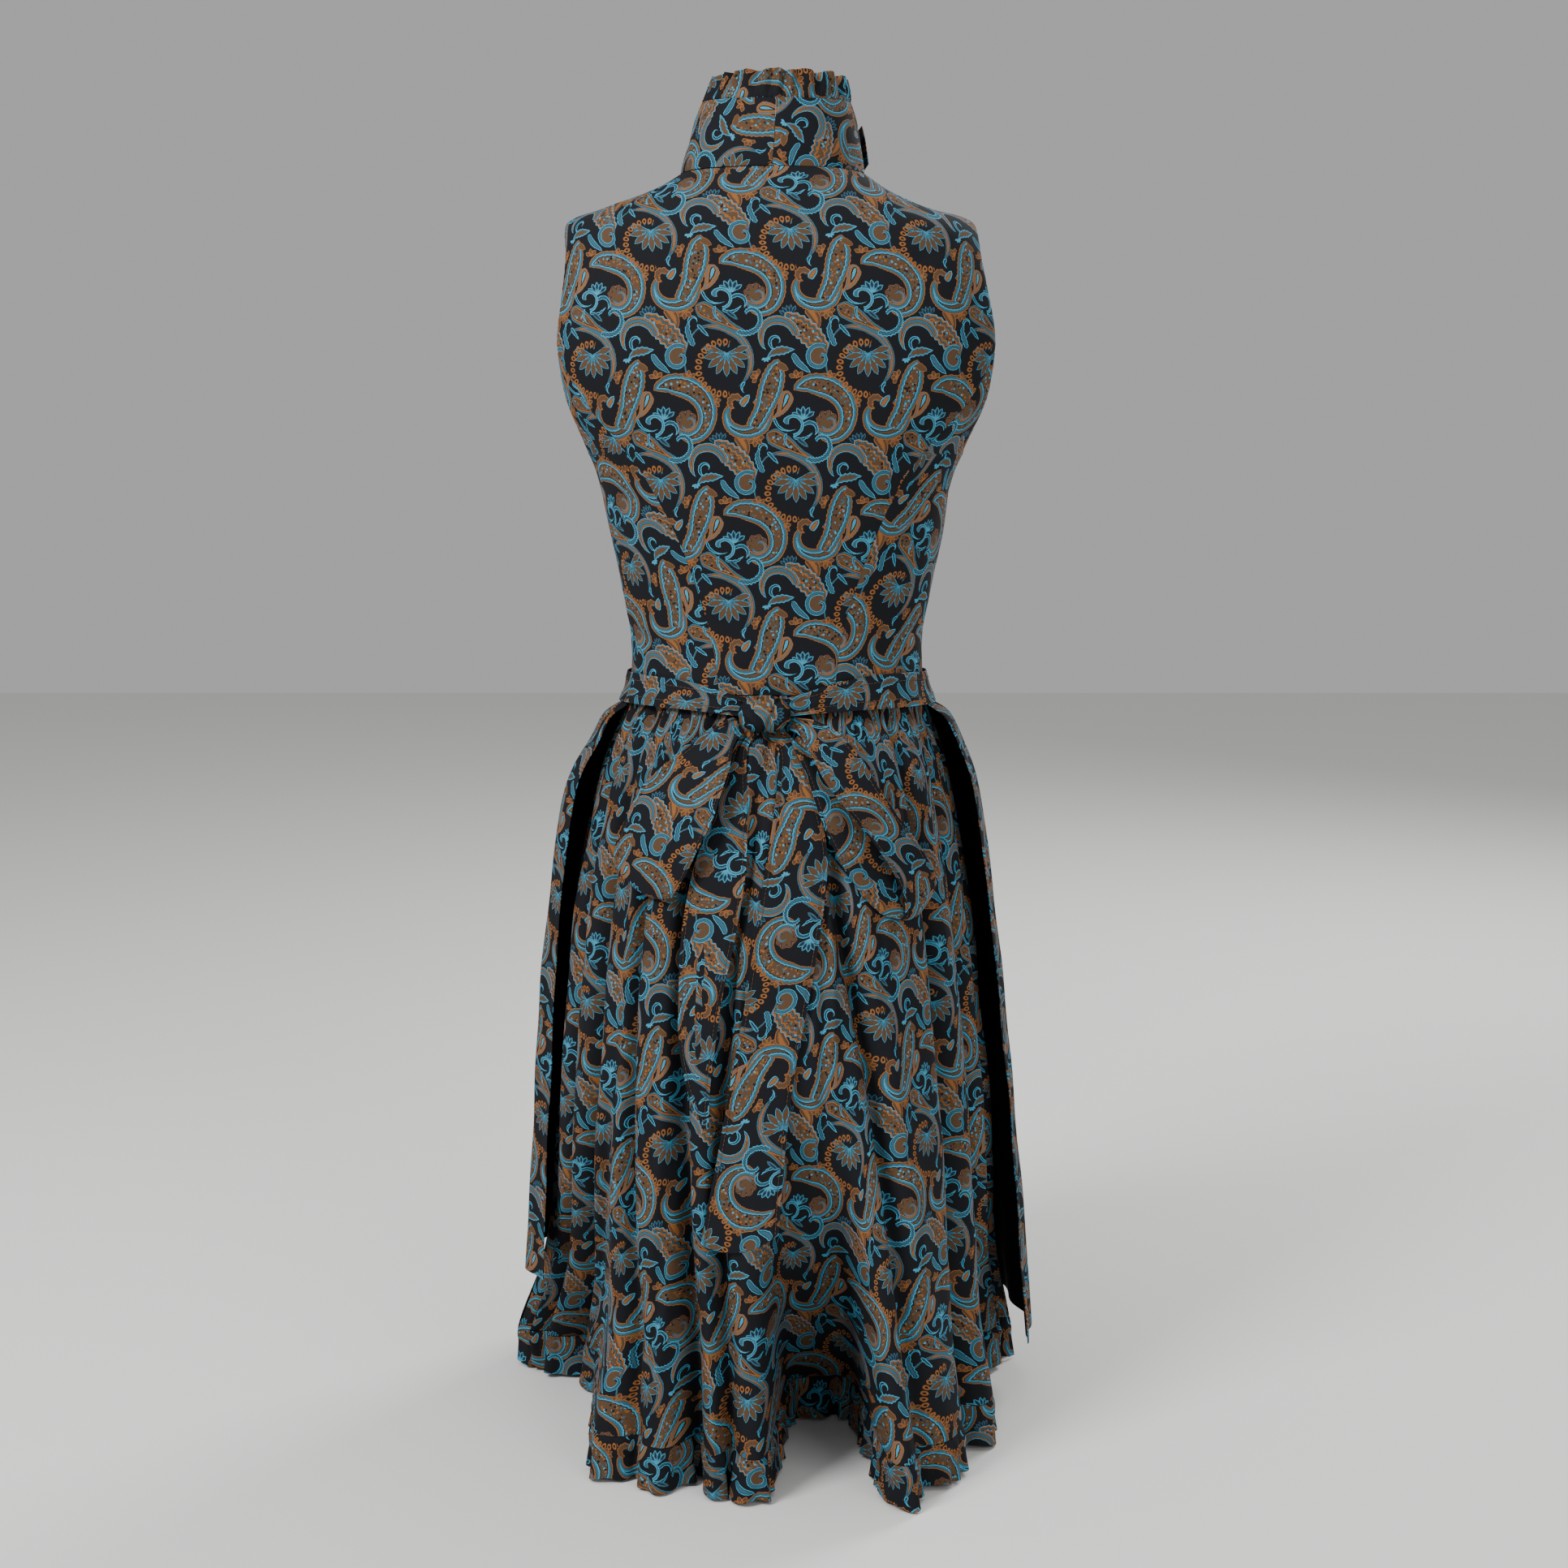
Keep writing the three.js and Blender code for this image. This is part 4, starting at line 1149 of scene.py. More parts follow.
@dataclass
class NodeBuilder:
    """Adds nodes with their settings and links to one node tree."""

    tree: bpy.types.NodeTree
    placed: int = 0

    def add(
        self, kind: str, inputs: dict[int | str, object] | None = None, **settings: object
    ) -> bpy.types.Node:
        """Adds a node.

        Args:
            kind: The node's type name.
            inputs: Values or sockets for its inputs, by index or name.
            **settings: Attributes to set on it.

        Returns:
            The node.
        """
        node = self.tree.nodes.new(kind)
        node.location = (180 * (self.placed % 24), -220 * (self.placed // 24))
        self.placed += 1
        for key, value in settings.items():
            setattr(node, key, value)
        for key, value in (inputs or {}).items():
            if isinstance(value, bpy.types.NodeSocket):
                self.tree.links.new(value, node.inputs[key])
            else:
                node.inputs[key].default_value = value
        return node

    def math(self, operation: str, a: Value, b: Value = 0.0, c: Value = 0.0) -> Socket:
        """Adds a math node and gives its result."""
        count = 3 if operation in ("MULTIPLY_ADD", "COMPARE") else 2
        inputs = dict(enumerate((a, b, c)[:count]))
        return self.add("ShaderNodeMath", inputs, operation=operation).outputs[0]

    def vector(self, operation: str, a: Socket, b: Value | tuple = (0.0, 0.0, 0.0)) -> Socket:
        """Adds a vector math node and gives its vector."""
        return self.add("ShaderNodeVectorMath", {0: a, 1: b}, operation=operation).outputs[0]

    def split(self, vector: Socket) -> tuple[Socket, Socket]:
        """Gives a vector's x and y."""
        node = self.add("ShaderNodeSeparateXYZ", {0: vector})
        return node.outputs[0], node.outputs[1]

    def curve(self, value: Value, points: Sequence[tuple[float, float]]) -> Socket:
        """Adds a smooth curve through points.

        Args:
            value: Place from 0 to 1.
            points: Pairs of a place and a height in millimetres.

        Returns:
            The height in units of UNIT millimetres.
        """
        node = self.add("ShaderNodeFloatCurve", {1: value})
        node.mapping.use_clip = False
        node.mapping.extend = "HORIZONTAL"
        line = node.mapping.curves[0]
        for i, (at, height) in enumerate(points):
            if i < 2:
                line.points[i].location = (at, height / UNIT)
            else:
                line.points.new(at, height / UNIT)
        for point in line.points:
            point.handle_type = "AUTO_CLAMPED"
        node.mapping.update()
        return node.outputs[0]

    def choose(self, factor: Socket, a: Socket | tuple, b: Socket | tuple) -> Socket:
        """Mixes two colours."""
        node = self.add("ShaderNodeMix", {0: factor, 6: a, 7: b}, data_type="RGBA")
        return node.outputs[2]

    def bands(self, depth: Socket, stops: Sequence[tuple[float, Ink]]) -> bpy.types.Node:
        """Colours a motif by the distance from its edge.

        Args:
            depth: Distance inside the edge in units of UNIT millimetres.
            stops: Pairs of a distance in millimetres and the colour that starts there.

        Returns:
            The ramp; its alpha is 0 outside the edge.
        """
        node = self.add("ShaderNodeValToRGB", {0: depth})
        ramp = node.color_ramp
        ramp.interpolation = "CONSTANT"
        ramp.elements[0].color = (*linear(stops[0][1].value)[:3], 0.0)
        for i, (at, ink) in enumerate(stops):
            element = ramp.elements[1] if i == 0 else ramp.elements.new(at / UNIT)
            element.position = max(at / UNIT, 0.002)
            element.color = linear(ink.value)
        return node


def affine(
    centre: tuple[float, float], turn: float, mirror: bool, stretch: float = 1.0
) -> tuple[tuple[float, ...], tuple[float, ...]]:
    """Gives the two rows that turn a place in the lattice of repeats into a motif's own x and y.

    Args:
        centre: The motif's centre in millimetres from the flower.
        turn: Angle of its x axis in degrees.
        mirror: Whether its y axis is turned over.
        stretch: Further factor on x.

    Returns:
        Factors of the lattice place's x, y and 1, for x and for y, in units of UNIT millimetres.
    """
    c, s = math.cos(math.radians(turn)), math.sin(math.radians(turn))
    a, b = lattice(centre)
    rows = []
    for along_x, along_y in ((c * stretch, s * stretch), (s, -c) if mirror else (-s, c)):
        first = PRINT_WIDTH * along_x / UNIT
        second = (PRINT_WIDTH / 2 * along_x + PRINT_HEIGHT * along_y) / UNIT
        rows.append((first, second, -a * first - b * second))
    return rows[0], rows[1]


def lattice(place: tuple[float, float]) -> tuple[float, float]:
    """Turns a place in millimetres into steps of the half-drop repeat."""
    return place[0] / PRINT_WIDTH - place[1] / PRINT_HEIGHT / 2, place[1] / PRINT_HEIGHT


@dataclass
class PrintBuilder:
    """Draws the motifs of the print one over another.

    Attributes:
        build: Adds the nodes.
        cloth: Place in the lattice of repeats, with 1 as its third number.
        beads: Colour of the small beads that fill the larger motifs.
        bead_mask: 1 on a bead.
        colour: The colour so far.
    """

    build: NodeBuilder
    cloth: Socket
    beads: Socket
    bead_mask: Socket
    colour: Socket | tuple[float, float, float, float]

    def place(
        self, centre: tuple[float, float], turn: float, mirror: bool = False, stretch: float = 1.0
    ) -> tuple[Socket, Socket]:
        """Gives the nearest repeat's place seen from a motif, with its axis along x."""
        a, b = lattice(centre)
        near = self.build.add(
            "ShaderNodeVectorMath",
            {0: self.cloth, 1: (a + 0.5, b + 0.5, 2.0), 2: (a - 0.5, b - 0.5, 0.0)},
            operation="WRAP",
        )
        dots = [
            self.build.add("ShaderNodeVectorMath", {0: near.outputs[0], 1: row}, operation="DOT_PRODUCT")
            for row in affine(centre, turn, mirror, stretch)
        ]
        return dots[0].outputs[1], dots[1].outputs[1]

    def polar(self, centre: tuple[float, float], turn: float, sweep: float) -> tuple[Socket, Socket]:
        """Gives the distance from a centre, and the angle in radians from the middle of a sweep."""
        x, y = self.place(centre, turn + sweep / 2, sweep < 0)
        squares = self.build.math("MULTIPLY_ADD", x, x, self.build.math("MULTIPLY", y, y))
        return self.build.math("SQRT", squares), self.build.math("ARCTAN2", y, x)

    def stripe(self, motif: Stripe, share: Socket, side: Socket) -> None:
        """Draws a stripe.

        Args:
            motif: The stripe.
            share: Place along it, from 0 to 1.
            side: Place across it, counted like its middle line.
        """
        line = self.build.curve(share, motif.line)
        width = self.build.curve(share, motif.width)
        if motif.teeth:
            wave = self.build.math("PINGPONG", share, 0.5 / motif.teeth)
            widest = max(value for _, value in motif.width)
            teeth = self.build.math("MULTIPLY_ADD", wave, 4 * motif.tooth * motif.teeth / widest, 1.0)
            width = self.build.math("MULTIPLY", width, teeth)
        away = self.build.math("ABSOLUTE", self.build.math("SUBTRACT", side, line))
        self.paint(self.build.math("SUBTRACT", width, away), motif.bands, motif.beads)

    def paint(self, depth: Socket, bands: Sequence[tuple[float, Ink]], beads: float = 0.0) -> None:
        """Lays a motif over the colour so far, where depth is more than nothing."""
        ramp = self.build.bands(depth, bands)
        ink = ramp.outputs[0]
        if beads:
            inside = self.build.math("GREATER_THAN", depth, beads / UNIT)
            mask = self.build.math("MULTIPLY", inside, self.bead_mask)
            ink = self.build.choose(mask, ink, self.beads)
        self.colour = self.build.choose(ramp.outputs[1], self.colour, ink)


# Unevenness of the printed lines in millimetres, and the beads in the larger motifs
PRINT_SHAKE = 0.8
BEADS_PER_MM, BEAD_REACH = 0.45, 0.42
BEAD_INKS: Bands = ((0, RUST), (3.6, BRIGHT), (5.8, GROUND), (8.6, MID))


def paisley_group() -> bpy.types.NodeTree:
    """Makes the group that gives the print's colour at a place on the cloth in millimetres."""
    name = "paisley_print"
    if name in bpy.data.node_groups:
        return bpy.data.node_groups[name]
    tree = bpy.data.node_groups.new(name, "ShaderNodeTree")
    tree.interface.new_socket("Cloth", in_out="INPUT", socket_type="NodeSocketVector")
    tree.interface.new_socket("Colour", in_out="OUTPUT", socket_type="NodeSocketColor")
    build = NodeBuilder(tree)
    source = build.add("NodeGroupInput").outputs[0]
    wobble = build.add("ShaderNodeTexNoise", {"Vector": source, "Scale": 0.5, "Detail": 1.0})
    centred = build.vector("SUBTRACT", wobble.outputs[1], (0.5, 0.5, 0.5))
    shake = build.vector("MULTIPLY", centred, (PRINT_SHAKE, PRINT_SHAKE, 0.0))
    cloth = build.vector("ADD", source, shake)
    cells = build.add("ShaderNodeTexVoronoi", {"Vector": cloth, "Scale": BEADS_PER_MM, "Randomness": 0.8})
    bead_mask = build.math("LESS_THAN", cells.outputs["Distance"], BEAD_REACH)
    tint = build.math("FRACT", build.math("MULTIPLY", build.split(cells.outputs["Color"])[0], 7.0))
    inks = build.bands(tint, BEAD_INKS).outputs[0]
    x, y = build.split(cloth)
    row = build.math("DIVIDE", y, PRINT_HEIGHT)
    column_place = build.math("MULTIPLY_ADD", x, 1 / PRINT_WIDTH, build.math("MULTIPLY", row, -0.5))
    repeat = build.add("ShaderNodeCombineXYZ", {0: column_place, 1: row, 2: 1.0})
    painter = PrintBuilder(build, repeat.outputs[0], inks, bead_mask, linear(GROUND.value))
    for motif in MOTIFS:
        motif.draw(painter)
    build.add("NodeGroupOutput", {"Colour": painter.colour})
    LOG.info("%s: %d nodes", name, len(tree.nodes))
    return tree


def printed_cotton(finish: ClothFinish) -> bpy.types.Material:
    """Makes a cotton printed with the paisley.

    Args:
        finish: How the print lies on the piece, and the cloth's surface.

    Returns:
        The material.
    """
    # Real material: plain-woven cotton, reactive print, matt with a faint grain
    material = bpy.data.materials.new(finish.name)
    material.use_nodes = True
    tree = material.node_tree
    tree.nodes.clear()
    build = NodeBuilder(tree)
    uv = build.add("ShaderNodeUVMap", uv_map="print")
    in_mm = build.vector("MULTIPLY", uv.outputs[0], (1 / MM, 1 / MM, 1.0))
    moved = build.vector("SUBTRACT", in_mm, (*finish.print_shift, 0.0))
    turned = build.add(
        "ShaderNodeVectorRotate",
        {"Vector": moved, "Angle": math.radians(finish.print_angle)},
        rotation_type="Z_AXIS",
    )
    drawn = build.vector("MULTIPLY", turned.outputs[0], (1 / PRINT_SCALE, 1 / PRINT_SCALE, 1.0))
    print_node = build.add("ShaderNodeGroup", node_tree=paisley_group())
    tree.links.new(drawn, print_node.inputs[0])
    # The ink lies unevenly on the weave
    weave = build.add("ShaderNodeTexNoise", {"Vector": in_mm, "Scale": 1 / finish.weave_mm, "Detail": 2.0})
    darkest, lightest = finish.ink_range
    shade = build.add("ShaderNodeMapRange", {0: weave.outputs[0], 1: 0.3, 2: 0.7, 3: darkest, 4: lightest})
    grey = build.add("ShaderNodeCombineColor", {channel: shade.outputs[0] for channel in range(3)})
    inked = build.add(
        "ShaderNodeMix",
        {0: 1.0, 6: print_node.outputs[0], 7: grey.outputs[0]},
        data_type="RGBA",
        blend_type="MULTIPLY",
    )
    relief = build.add(
        "ShaderNodeBump",
        {"Strength": finish.bump, "Distance": finish.bump_mm * MM, "Height": weave.outputs[0]},
    )
    shader = build.add(
        "ShaderNodeBsdfPrincipled",
        {"Base Color": inked.outputs[2], "Roughness": finish.roughness, "Normal": relief.outputs[0]},
    )
    shader.inputs["Specular IOR Level"].default_value = finish.sheen
    build.add("ShaderNodeOutputMaterial", {0: shader.outputs[0]})
    return material


def plain_material(finish: PlainFinish) -> bpy.types.Material:
    """Makes a one-coloured material."""
    if finish.name in bpy.data.materials:
        return bpy.data.materials[finish.name]
    material = bpy.data.materials.new(finish.name)
    material.use_nodes = True
    shader = material.node_tree.nodes["Principled BSDF"]
    shader.inputs["Base Color"].default_value = linear(finish.colour)
    shader.inputs["Roughness"].default_value = finish.roughness
    shader.inputs["Specular IOR Level"].default_value = finish.sheen
    return material


def reverse_painted_shade_material() -> bpy.types.Material:
    """Gives the cotton's unprinted wrong side as a dull near-black painted shade, standing for the deep shade
    inside the garment and between the apron and the skirt.
    """
    return plain_material(PAINTED_SHADE_REVERSE)


# Sub-assemblies


ROWS_PER_LEVEL = 11


def panel_levels(top: float) -> Points:
    """Gives levels up a bodice panel, closer together where the armhole's edge turns."""
    turns = np.linspace(0, 1, 9)[1:] ** 2 * 0.5
    even = np.linspace(0, top, int(top * ROWS_PER_LEVEL))
    levels = np.concatenate([even, ARMHOLE_BOTTOM + turns, ARMHOLE_TOP - turns, [ARMHOLE_BOTTOM]])
    return np.unique(np.round(levels[levels <= top], 4))


def print_on_body(grid: Points, middle: int, middle_u: float) -> Points:
    """Works out where a body panel was cut from the cloth.

    Args:
        grid: The panel's points.
        middle: Column along which the cloth's length runs.
        middle_u: Place of that column across the cloth.

    Returns:
        Places on the cloth in millimetres.
    """
    flat = grid.copy()
    flat[..., 2] = 0
    across = arc_lengths(flat, 1)
    across = across - across[:, middle : middle + 1] + middle_u
    line = grid[:, middle]
    order = np.argsort(line[:, 2])
    z = line[order, 2]
    length = np.concatenate([[0], np.cumsum(np.hypot(np.diff(z), np.diff(line[order, 1])))])
    length -= np.interp(PRINT_PLACE[1], z, length)
    down = np.interp(grid[..., 2], z, length)
    below, above = grid[..., 2] - z[0], grid[..., 2] - z[-1]
    down = down + np.minimum(below, 0) + np.maximum(above, 0)
    return np.stack([across, down], axis=-1)


BODICE_CREASES = (
    Crease(((-150, -205), (-128, -222), (-100, -232)), 1.6, 6),
    Crease(((-138, -240), (-118, -246), (-96, -250)), 1.1, 5),
    Crease(((156, -196), (132, -214), (108, -226)), 1.5, 6),
    Crease(((142, -236), (124, -246), (104, -256)), 1.1, 5),
    Crease(((-118, -352), (-96, -361), (-70, -366)), 1.5, 5),
    Crease(((-121, -336), (-104, -346), (-86, -350)), -0.9, 5),
    Crease(((-117, -372), (-98, -377), (-78, -380)), 1.2, 4),
    Crease(((119, -346), (100, -358), (78, -364)), 1.6, 5),
    Crease(((121, -330), (106, -342), (92, -350)), -0.9, 5),
    Crease(((118, -368), (100, -374), (84, -379)), 1.2, 4),
    Crease(((-44, -384), (-8, -376), (30, -382)), 1.0, 5),
    Crease(((-60, -330), (-40, -344), (-28, -366)), 0.7, 6),
    Crease(((66, -322), (48, -342), (38, -366)), 0.7, 6),
    Crease(((-168, -150), (-150, -164), (-128, -170)), 1.0, 7),
    Crease(((170, -146), (152, -160), (132, -168)), 1.0, 7),
    Crease(((-140, -48), (-116, -62), (-96, -84)), 0.8, 8),
    Crease(((136, -50), (112, -66), (92, -90)), 0.8, 8),
    Crease(((-118, -352), (-92, -358), (-64, -356)), 1.4, 6, True),
    Crease(((116, -344), (92, -352), (66, -350)), 1.4, 6, True),
    Crease(((-146, -226), (-118, -216), (-92, -196)), 1.5, 8, True),
    Crease(((146, -222), (118, -212), (94, -190)), 1.5, 8, True),
    Crease(((-150, -128), (-124, -146), (-96, -154)), 1.0, 8, True),
    Crease(((150, -124), (124, -142), (98, -152)), 1.0, 8, True),
    Crease(((-70, -372), (-40, -362), (-18, -366)), 1.1, 5, True),
    Crease(((72, -368), (44, -358), (22, -364)), 1.1, 5, True),
)


@dataclass(frozen=True)
class PanelCut:
    """How a panel of the bodice is cut.

    Attributes:
        name: Node and object name.
        left: Angle of its left edge at levels.
        right: Angle of its right edge at levels.
        top: Its top level.
        columns: Grid columns.
        middle: Share of its width where the cloth's length runs.
        size: Width and length of the cut in millimetres.
        share: The cut's area as a share of that rectangle.
    """

    name: str
    left: Edge
    right: Edge
    top: float
    columns: int
    middle: float
    size: tuple[float, float]
    share: float


@dataclass
class Bodice:
    """Seven panels between the waist seam, the armholes and the neck seam."""

    material: bpy.types.Material
    side_right: bpy.types.Material
    side_left: bpy.types.Material
    gap: float = 0.08
    roll: float = 0.5
    roll_width: float = 2.2
    crowding: float = 0.7
    calm_edge: float = 12.0
    pucker: float = 0.16
    pucker_width: float = 5.0

    def panel(self, cut: PanelCut, material: bpy.types.Material) -> None:
        """Makes one panel in a printed finish."""
        t = panel_levels(cut.top)[:, None]
        gap = math.degrees(self.gap / BODICE[0].half)
        first, last = cut.left(t) + gap, cut.right(t) - gap
        spread = np.linspace(0, 1, cut.columns)[None, :]
        # Closer columns at the edges, for the rolled seams
        spread = spread - self.crowding * np.sin(2 * np.pi * spread) / (2 * np.pi)
        degrees = first + (last - first) * spread
        grid = ring(BODICE, degrees, np.broadcast_to(t, degrees.shape))
        middle = int(cut.middle * (cut.columns - 1))
        place = print_on_body(grid, middle, float(grid[0, middle, 0]))
        n = outward(grid)
        sunk = ripple(grid[..., 0] + grid[..., 1], grid[..., 2], 70, 3) * 0.5
        for crease in BODICE_CREASES:
            sunk = sunk + CREASE_STRENGTH * crease.lift(grid)
        width = arc_lengths(grid, 1)
        edge = np.minimum(width, width[:, -1:] - width)
        sunk = sunk * np.clip(edge / self.calm_edge + 0.25, 0, 1)
        sunk = sunk + self.roll * np.exp(-((edge / self.roll_width) ** 2))
        puckers = np.sin(grid[..., 2] * 0.75) * self.pucker * np.exp(-((edge / self.pucker_width) ** 2))
        grid = grid - n * (sunk + puckers)[..., None]
        ClothPiece(
            cut.name, grid, place, material, Slot.PRINT, cut.size, Hold.WORN,
            ("skirt_back", "skirt_front"), cut.share,
        ).build()

    def build(self) -> None:
        """Makes all panels; each front side has the finish of the back side across from it."""
        back, side, front = ((350, 430), 0.66), ((115, 265), 0.6), ((185, 420), 0.62)
        fore, neck = ((125, 275), 0.62), BODICE[-1].t
        back_left, front_left = mirrored(seam_back), mirrored(seam_front)
        edge_back, edge_front = mirrored(side_back), mirrored(side_front)
        other_centre = mirrored(centre_front)
        for cut, material in (
            (PanelCut("back_centre", back_left, seam_back, neck, 131, 0.5, *back), self.material),
            (PanelCut("back_side_right", seam_back, side_back, SEAM_TOP, 44, 0.5, *side), self.side_right),
            (PanelCut("back_side_left", edge_back, back_left, SEAM_TOP, 44, 0.5, *side), self.side_left),
            (PanelCut("front_side_right", side_front, seam_front, SEAM_TOP, 44, 0.5, *fore), self.side_left),
            (PanelCut("front_side_left", front_left, edge_front, SEAM_TOP, 44, 0.5, *fore), self.side_right),
            (PanelCut("front_right", seam_front, centre_front, neck, 70, 1.0, *front), self.material),
            (PanelCut("front_left", other_centre, front_left, neck, 70, 0.0, *front), self.material),
        ):
            self.panel(cut, material)


@dataclass
class Collar:
    """Stand collar in two halves, its gathered frill and its closing tab."""

    material: bpy.types.Material
    right_material: bpy.types.Material
    left_material: bpy.types.Material
    frill_material: bpy.types.Material
    level_height: float = 28.0
    roll_width: float = 2.2
    tuck: tuple[float, float] = (1.1, 2.0)
    half_size: tuple[float, float] = (200.0, 58.0)
    frill_width: float = 21.0
    tab_size: tuple[float, float] = (98.0, 30.0)

    def half(
        self, name: str, first: float, last: float, middle_u: float, material: bpy.types.Material
    ) -> None:
        """Makes one half of the collar.

        Args:
            name: Node and object name.
            first: Angle of its left edge.
            last: Angle of its right edge.
            middle_u: Place on the cloth of its centre-back edge.
            material: Its printed finish.
        """
        degrees, t = spread_out(first, last, 110, 0, 2, 26)
        grid = ring(COLLAR, degrees, t)
        back = 0 if abs(first) < abs(last) else degrees.shape[1] - 1
        place = print_on_body(grid, back, middle_u)
        width = arc_lengths(grid, 1)
        edge = np.minimum(width, width[:, -1:] - width)
        low = np.minimum(t, 2 - t) * self.level_height
        sunk = 0.45 * np.exp(-((edge / self.roll_width) ** 2))
        sunk = sunk + 0.35 * np.exp(-((low / self.roll_width) ** 2))
        sunk = sunk + 0.5 * ripple(grid[..., 0] + grid[..., 1], grid[..., 2], 34, 5)
        grid = grid - outward(grid) * sunk[..., None]
        ClothPiece(
            name, grid, place, material, Slot.PRINT, self.half_size, Hold.WORN,
            ("back_centre", "front_right"),
        ).build()

    def frill(self) -> None:
        """Makes the gathered frill on the collar's top edge."""
        end = 180 - COLLAR_OPENING
        degrees, v = spread_out(-end, end, COLLAR_WAVES * 26, 0, 1, 14)
        angle = np.radians(degrees)
        place_on = angle * 56
        wave = np.cos(angle * COLLAR_WAVES + 0.9 * np.sin(angle * 9) + 0.7 * np.sin(angle * 5))
        fine = gathers(place_on, 4.4, 11) * (1 - v) ** 1.5 * 0.45
        flare = COLLAR_WAVE_REACH * v**0.8 * wave * (0.8 + 0.2 * np.sin(angle * 13))
        grid = ring(COLLAR_FRILL, degrees, 2 * v, flare + fine)
        grid[..., 2] += v * (0.9 * np.cos(angle * COLLAR_WAVES * 0.5 + 1) + 0.5 * ripple(place_on, v, 30, 12))
        # The first row is tucked inside the collar's edge
        inside, below = self.tuck
        tucked = ring(COLLAR_FRILL, degrees[0], 0 * degrees[0], -inside)
        tucked[..., 2] -= below
        grid = np.concatenate([tucked[None], grid])
        v = np.concatenate([v[:1] - 0.1, v])
        length = arc_lengths(grid, 1)[-1]
        place = np.stack([np.broadcast_to(length, v.shape) + 31, 66 + v * self.frill_width], axis=-1)
        ClothPiece(
            "collar_frill", grid, place, self.frill_material, Slot.PRINT,
            (float(length[-1]), self.frill_width), Hold.GATHERED, ("collar_right", "collar_left"),
        ).build()

    def tab(self) -> None:
        """Makes the tab that laps over from the front closure."""
        degrees, t = spread_out(TAB_TO, TAB_FROM, 70, 2 * TAB_LOW, 2 * TAB_HIGH, 12)
        share = (TAB_FROM - degrees) / (TAB_FROM - TAB_TO)
        grid = ring(COLLAR, degrees, t, TAB_LIFT + TAB_FLARE * share**6)
        place = print_on_body(grid, 0, 12.0)
        ClothPiece(
            "collar_tab", grid, place, self.material, Slot.PRINT, self.tab_size, Hold.LAID,
            ("collar_right",), doubled=True,
        ).build()

    def build(self) -> None:
        """Makes the collar's pieces."""
        end = 180 - COLLAR_OPENING
        self.half("collar_right", 0.1, end, 24.0, self.right_material)
        self.half("collar_left", -end, -0.1, -17.0, self.left_material)
        self.frill()
        self.tab()


def hem_places(first: float, last: float, count: int) -> tuple[Points, Points]:
    """Gives angles along the skirt's hem and the cloth's width used up to each.

    Args:
        first: First angle.
        last: Last angle.
        count: Number of angles.

    Returns:
        The angles, closer together where the hem runs long, and the width in millimetres.
    """
    dense = np.linspace(first, last, 4000)
    line = skirt_point(dense, np.full(dense.shape, LAST_LEVEL))
    real = line_lengths(line)
    level = np.full(dense.shape, 5.5)
    calm = skirt_point(dense, level)
    base = line_lengths(calm)
    turn = (dense - first) / (last - first)
    mix = 0.45 * real / real[-1] + 0.2 * base / base[-1] + 0.35 * turn
    angles = np.interp(np.linspace(0, 1, count), mix, dense)
    cloth = base * 1.16 + 0.12 * (real - base)
    return angles, np.interp(angles, dense, cloth)


def dressed_skirt(degrees: Points, t: Points) -> Points:
    """Gives the skirt's surface with its waist gathers and small folds."""
    p = skirt_point(degrees, t)
    out = np.stack([np.sin(np.radians(degrees)), -np.cos(np.radians(degrees)), 0 * degrees], axis=-1)
    drop = WAIST - p[..., 2]
    waist_place = np.radians(degrees) * 108
    fine = gathers(waist_place, 6.3, 21) * 1.5 * np.exp(-((drop / 34) ** 1.2)) * np.clip(drop / 6, 0.35, 1)
    middle = gathers(waist_place + drop * 0.03, 12.5, 22) * 1.7
    middle = middle * np.exp(-((drop / 95) ** 1.4)) * np.clip(drop / 16, 0, 1)
    long = gathers(waist_place * 1.9 + 0.02 * drop, 31.0, 23) * 2.6
    long = long * np.clip(drop / 90, 0, 1) * (0.55 + 0.45 * np.sin(drop / 130 + degrees * 0.05))
    soft = ripple(waist_place * 1.7, drop, 95, 24) * 1.1 * np.clip(drop / 60, 0, 1)
    share = drop / (WAIST - HEM)
    radius = along(SKIRT, "half", t)
    sharp = np.zeros(p.shape[:-1])
    for i, fold in enumerate(VALLEYS):
        side = beside(degrees, valley_line(fold, share), radius)
        uneven = 0.75 + 0.25 * np.sin(5 * share + 2 * i)
        sharp -= SHARP_DEPTH * uneven * np.clip(share * 4, 0, 1) * np.exp(-((side / SHARP_WIDTH) ** 2))
        # A ridge stands beside each valley
        beyond = (side - RIDGE_AWAY * SHARP_WIDTH) / SHARP_WIDTH / 1.5
        sharp += RIDGE_HEIGHT * uneven * np.clip(share * 3, 0, 1) * np.exp(-(beyond**2))
    return p + out * (fine + middle + long + soft + sharp)[..., None]


